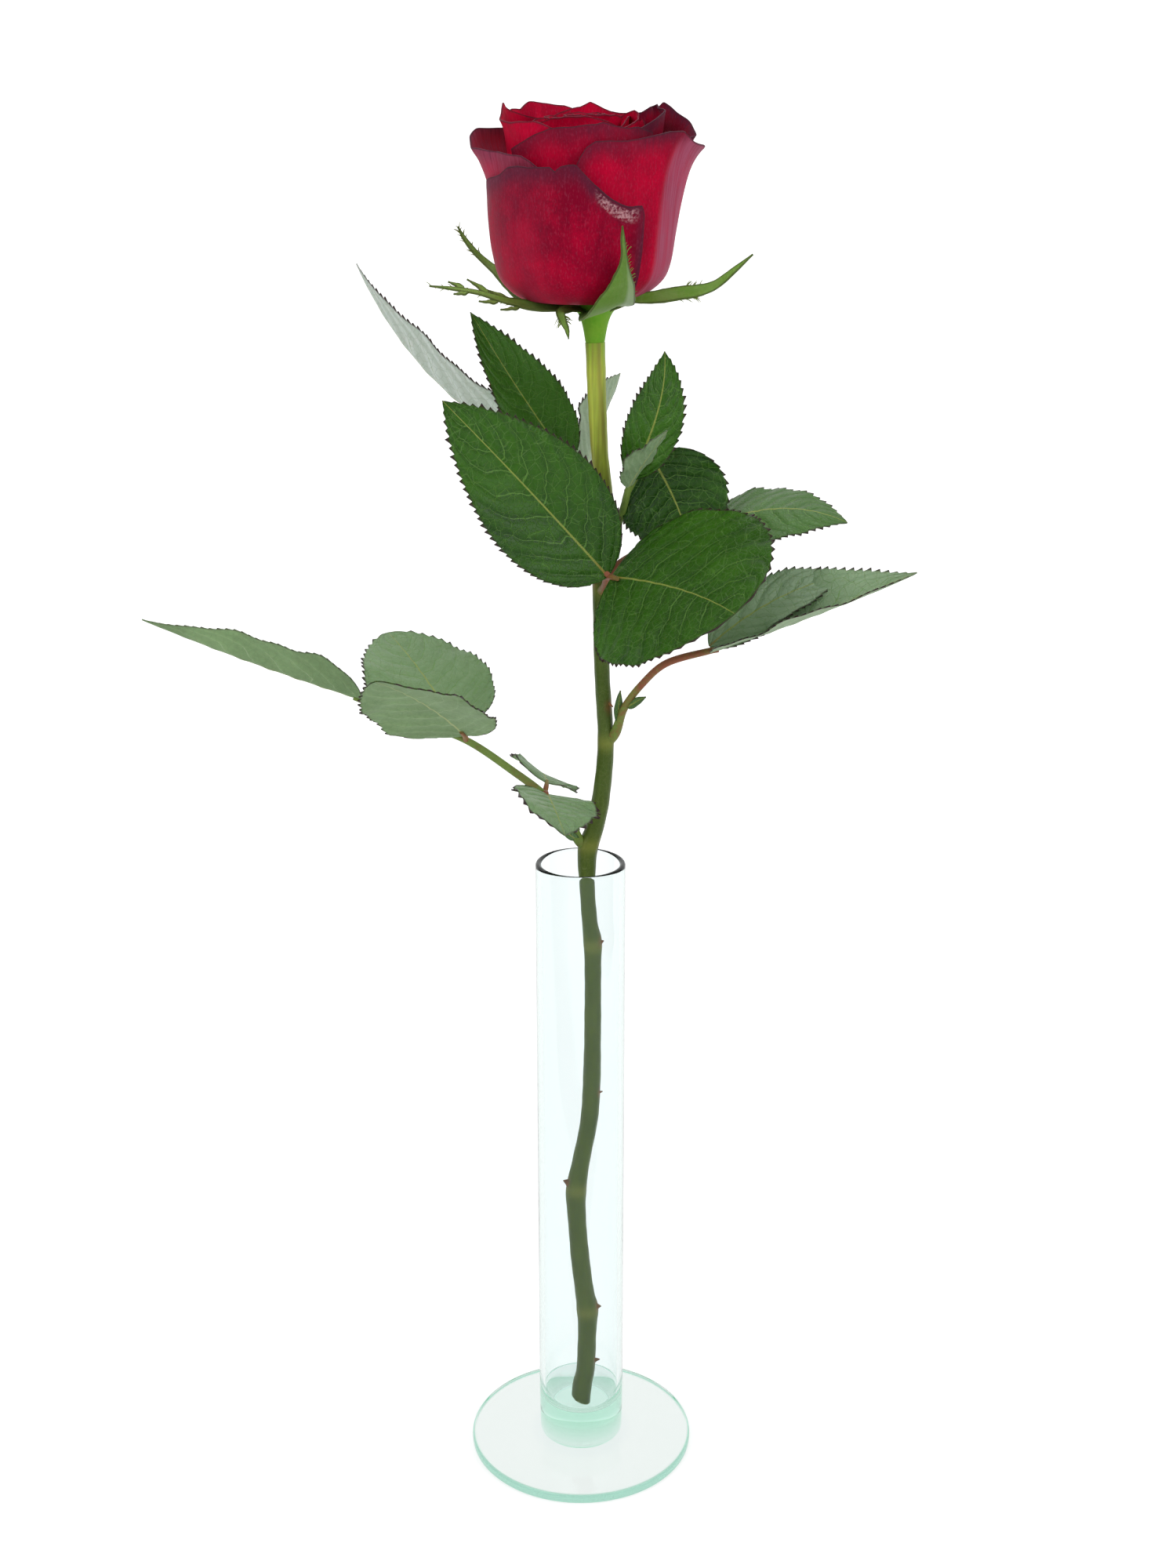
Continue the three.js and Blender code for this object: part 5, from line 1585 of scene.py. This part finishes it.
def backdrop_piece():
    """A floor that bends up into a backdrop without a seam."""
    width, near, far, bend, top = 3200, -2600, 1500, 900, 3000
    across = np.linspace(-width, width, 9)
    floor = [(near + (far - near) * share, 0) for share in np.linspace(0, 1, 12)]
    curve = [(far + bend * math.sin(a), bend - bend * math.cos(a))
             for a in np.linspace(0, math.pi / 2, 14)[1:]]
    wall = [(far + bend, bend + (top - bend) * share) for share in (0.25, 0.5, 0.75, 1)]
    rows = floor + curve + wall
    places = np.array([[(x, y, z) for x in across] for y, z in rows])
    return smooth(grid_piece("pale_backdrop", places), 60)


def soft_light(name, where, power):
    """A square soft light that looks at the middle of the rose."""
    towards = (Vector(LIGHT_AIM) - Vector(where)).to_track_quat("-Z", "Y").to_euler()
    bpy.ops.object.light_add(type="AREA", location=where, rotation=towards)
    light = bpy.context.object
    light.name = name
    light.data.shape = "SQUARE"
    light.data.size = LIGHT_WIDTH
    light.data.energy = power


def studio_world():
    """White all round, a little dimmer towards the sides so that glass edges show."""
    world = bpy.data.worlds.new("soft_studio")
    world.use_nodes = True
    bpy.context.scene.world = world
    nodes = Nodes(world.node_tree)
    split = nodes.split(nodes.add("ShaderNodeTexCoord").outputs["Generated"])
    shade = nodes.fade(nodes.math("ABSOLUTE", split[0]), 0.35, 0.95, 1.0, 0.6)
    shade = nodes.times(shade, nodes.fade(split[2], -0.4, 0.8, 0.7, 1.0))
    shown = world.node_tree.nodes["Background"].inputs
    nodes.feed(shown["Color"], nodes.layers((0.0, 0.0, 0.0), (shade, (0.97, 0.99, 1.0))))
    rays = nodes.add("ShaderNodeLightPath").outputs
    clear = nodes.math("SUBTRACT", rays["Is Transmission Ray"], rays["Diffuse Depth"], clamp=True)
    strength = nodes.scaled(rays["Is Glossy Ray"], 0.15, 0.3)
    strength = nodes.scaled(clear, 0.75, strength)
    nodes.feed(shown["Strength"], nodes.scaled(rays["Is Camera Ray"], 0.75, strength))


# ---------------------------------------------------------------- operators


class RoseOperator(bpy.types.Operator):
    """Builds one kind of piece."""

    bl_options = {"REGISTER", "UNDO"}

    def finished(self, made, kind):
        """Reports what was built, or stops the run when a piece is missing."""
        if not made or any(not obj.data.vertices for obj in made):
            raise RuntimeError(f"{kind}: a piece came out empty")
        self.report({"INFO"}, f"{kind}: {len(made)} built")
        return {"FINISHED"}


class ROSE_OT_vase(RoseOperator):
    """Build the glass vase in place of the plain foot and tube"""

    bl_idname = "rose.vase"
    bl_label = "Vase"

    def execute(self, context):
        obj = place(vase_piece(context.scene.rose_vase), "glass", "vase_foot", "vase_tube")
        return self.finished([obj], "Vase")


class ROSE_OT_stem(RoseOperator):
    """Build the stem with its buds, prickles and slanting cut"""

    bl_idname = "rose.stem"
    bl_label = "Stem"

    def execute(self, context):
        obj = place(stem_piece(context.scene.rose_stem), "stem", "stem")
        return self.finished([obj], "Stem")


class ROSE_OT_calyx(RoseOperator):
    """Build the hip and the sepals under the bloom"""

    bl_idname = "rose.calyx"
    bl_label = "Calyx"

    def execute(self, context):
        scene = context.scene
        obj = place(calyx_piece(scene.rose_calyx, scene.rose_leaves), "calyx", "calyx")
        return self.finished([obj], "Calyx")


class ROSE_OT_bloom(RoseOperator):
    """Build every petal of the bloom and the seat that they grow from"""

    bl_idname = "rose.bloom"
    bl_label = "Bloom"

    def execute(self, context):
        given = context.scene.rose_bloom
        # Each material's glow adds painted light; the heart's is the highest, so the petals deep in
        # the bloom show bright on both faces.
        outside = petal_material("petal_outside", given, 8.0, 0.9, 0.1)
        inside = petal_material("petal_inside", given, 4.0, 0.8, 0.1)
        heart = petal_material("petal_heart", given, 1.6, 0.3, 0.4, 0.7)
        made = []
        for name, spec in {**PETALS, **heart_petals()}.items():
            deep_in = any(word in name for word in ("heart", "rear", "inner_left"))
            shown, behind = (heart, heart) if deep_in else (outside, inside)
            piece = petal_piece(f"petal_{name}", spec, given, shown, behind)
            made.append(place(piece, "petal", "bloom"))
        seat = paint(receptacle_piece(), seat_material(given))
        made.append(place(seat, "petal"))
        return self.finished(made, "Bloom")


class ROSE_OT_leaves(RoseOperator):
    """Build the five compound leaves"""

    bl_idname = "rose.leaves"
    bl_label = "Leaves"

    def execute(self, context):
        given = context.scene.rose_leaves
        made = [place(leaf_piece(letter, given), "leaf", f"leaf_{letter}") for letter in LEAVES]
        return self.finished(made, "Leaves")


class ROSE_OT_stage(RoseOperator):
    """Set out the floor, the soft lights and the camera"""

    bl_idname = "rose.stage"
    bl_label = "Stage"

    def execute(self, context):
        given = context.scene.rose_stage
        backdrop = paint(backdrop_piece(), floor_material(given))
        studio_world()
        for name, (where, share) in LIGHTS.items():
            soft_light(name, where, given.light * share)
        turned_down = (math.pi / 2 - given.pitch, 0, 0)
        bpy.ops.object.camera_add(location=CAMERA_PLACE, rotation=turned_down)
        camera = context.object
        camera.name = "photo_camera"
        camera.data.lens = given.lens
        camera.data.clip_start = 0.01
        context.scene.camera = camera
        context.scene.view_settings.view_transform = "Standard"
        return self.finished([backdrop], "Stage")


class ROSE_PT_pieces(bpy.types.Panel):
    """Lists the operators that build the rose, piece by piece"""

    bl_label = "Rose in a Bud Vase"
    bl_idname = "ROSE_PT_pieces"
    bl_space_type = "VIEW_3D"
    bl_region_type = "UI"
    bl_category = "Rose"

    def draw(self, context):
        for operator in OPERATORS:
            self.layout.operator(operator.bl_idname)


OPERATORS = (ROSE_OT_vase, ROSE_OT_stem, ROSE_OT_calyx, ROSE_OT_bloom, ROSE_OT_leaves,
             ROSE_OT_stage)
SETTINGS = {"rose_vase": VaseSettings, "rose_stem": StemSettings, "rose_calyx": CalyxSettings,
            "rose_bloom": BloomSettings, "rose_leaves": LeafSettings, "rose_stage": StageSettings}


def register():
    for kind in (*SETTINGS.values(), *OPERATORS, ROSE_PT_pieces):
        bpy.utils.register_class(kind)
    for name, kind in SETTINGS.items():
        setattr(bpy.types.Scene, name, PointerProperty(type=kind))


def unregister():
    for name in SETTINGS:
        delattr(bpy.types.Scene, name)
    for kind in (ROSE_PT_pieces, *reversed(OPERATORS), *reversed(list(SETTINGS.values()))):
        bpy.utils.unregister_class(kind)


def main():
    register()
    bpy.ops.rose.vase()
    bpy.ops.rose.stem()
    bpy.ops.rose.calyx()
    bpy.ops.rose.bloom()
    bpy.ops.rose.leaves()
    bpy.ops.rose.stage()


if __name__ == "__main__":
    main()
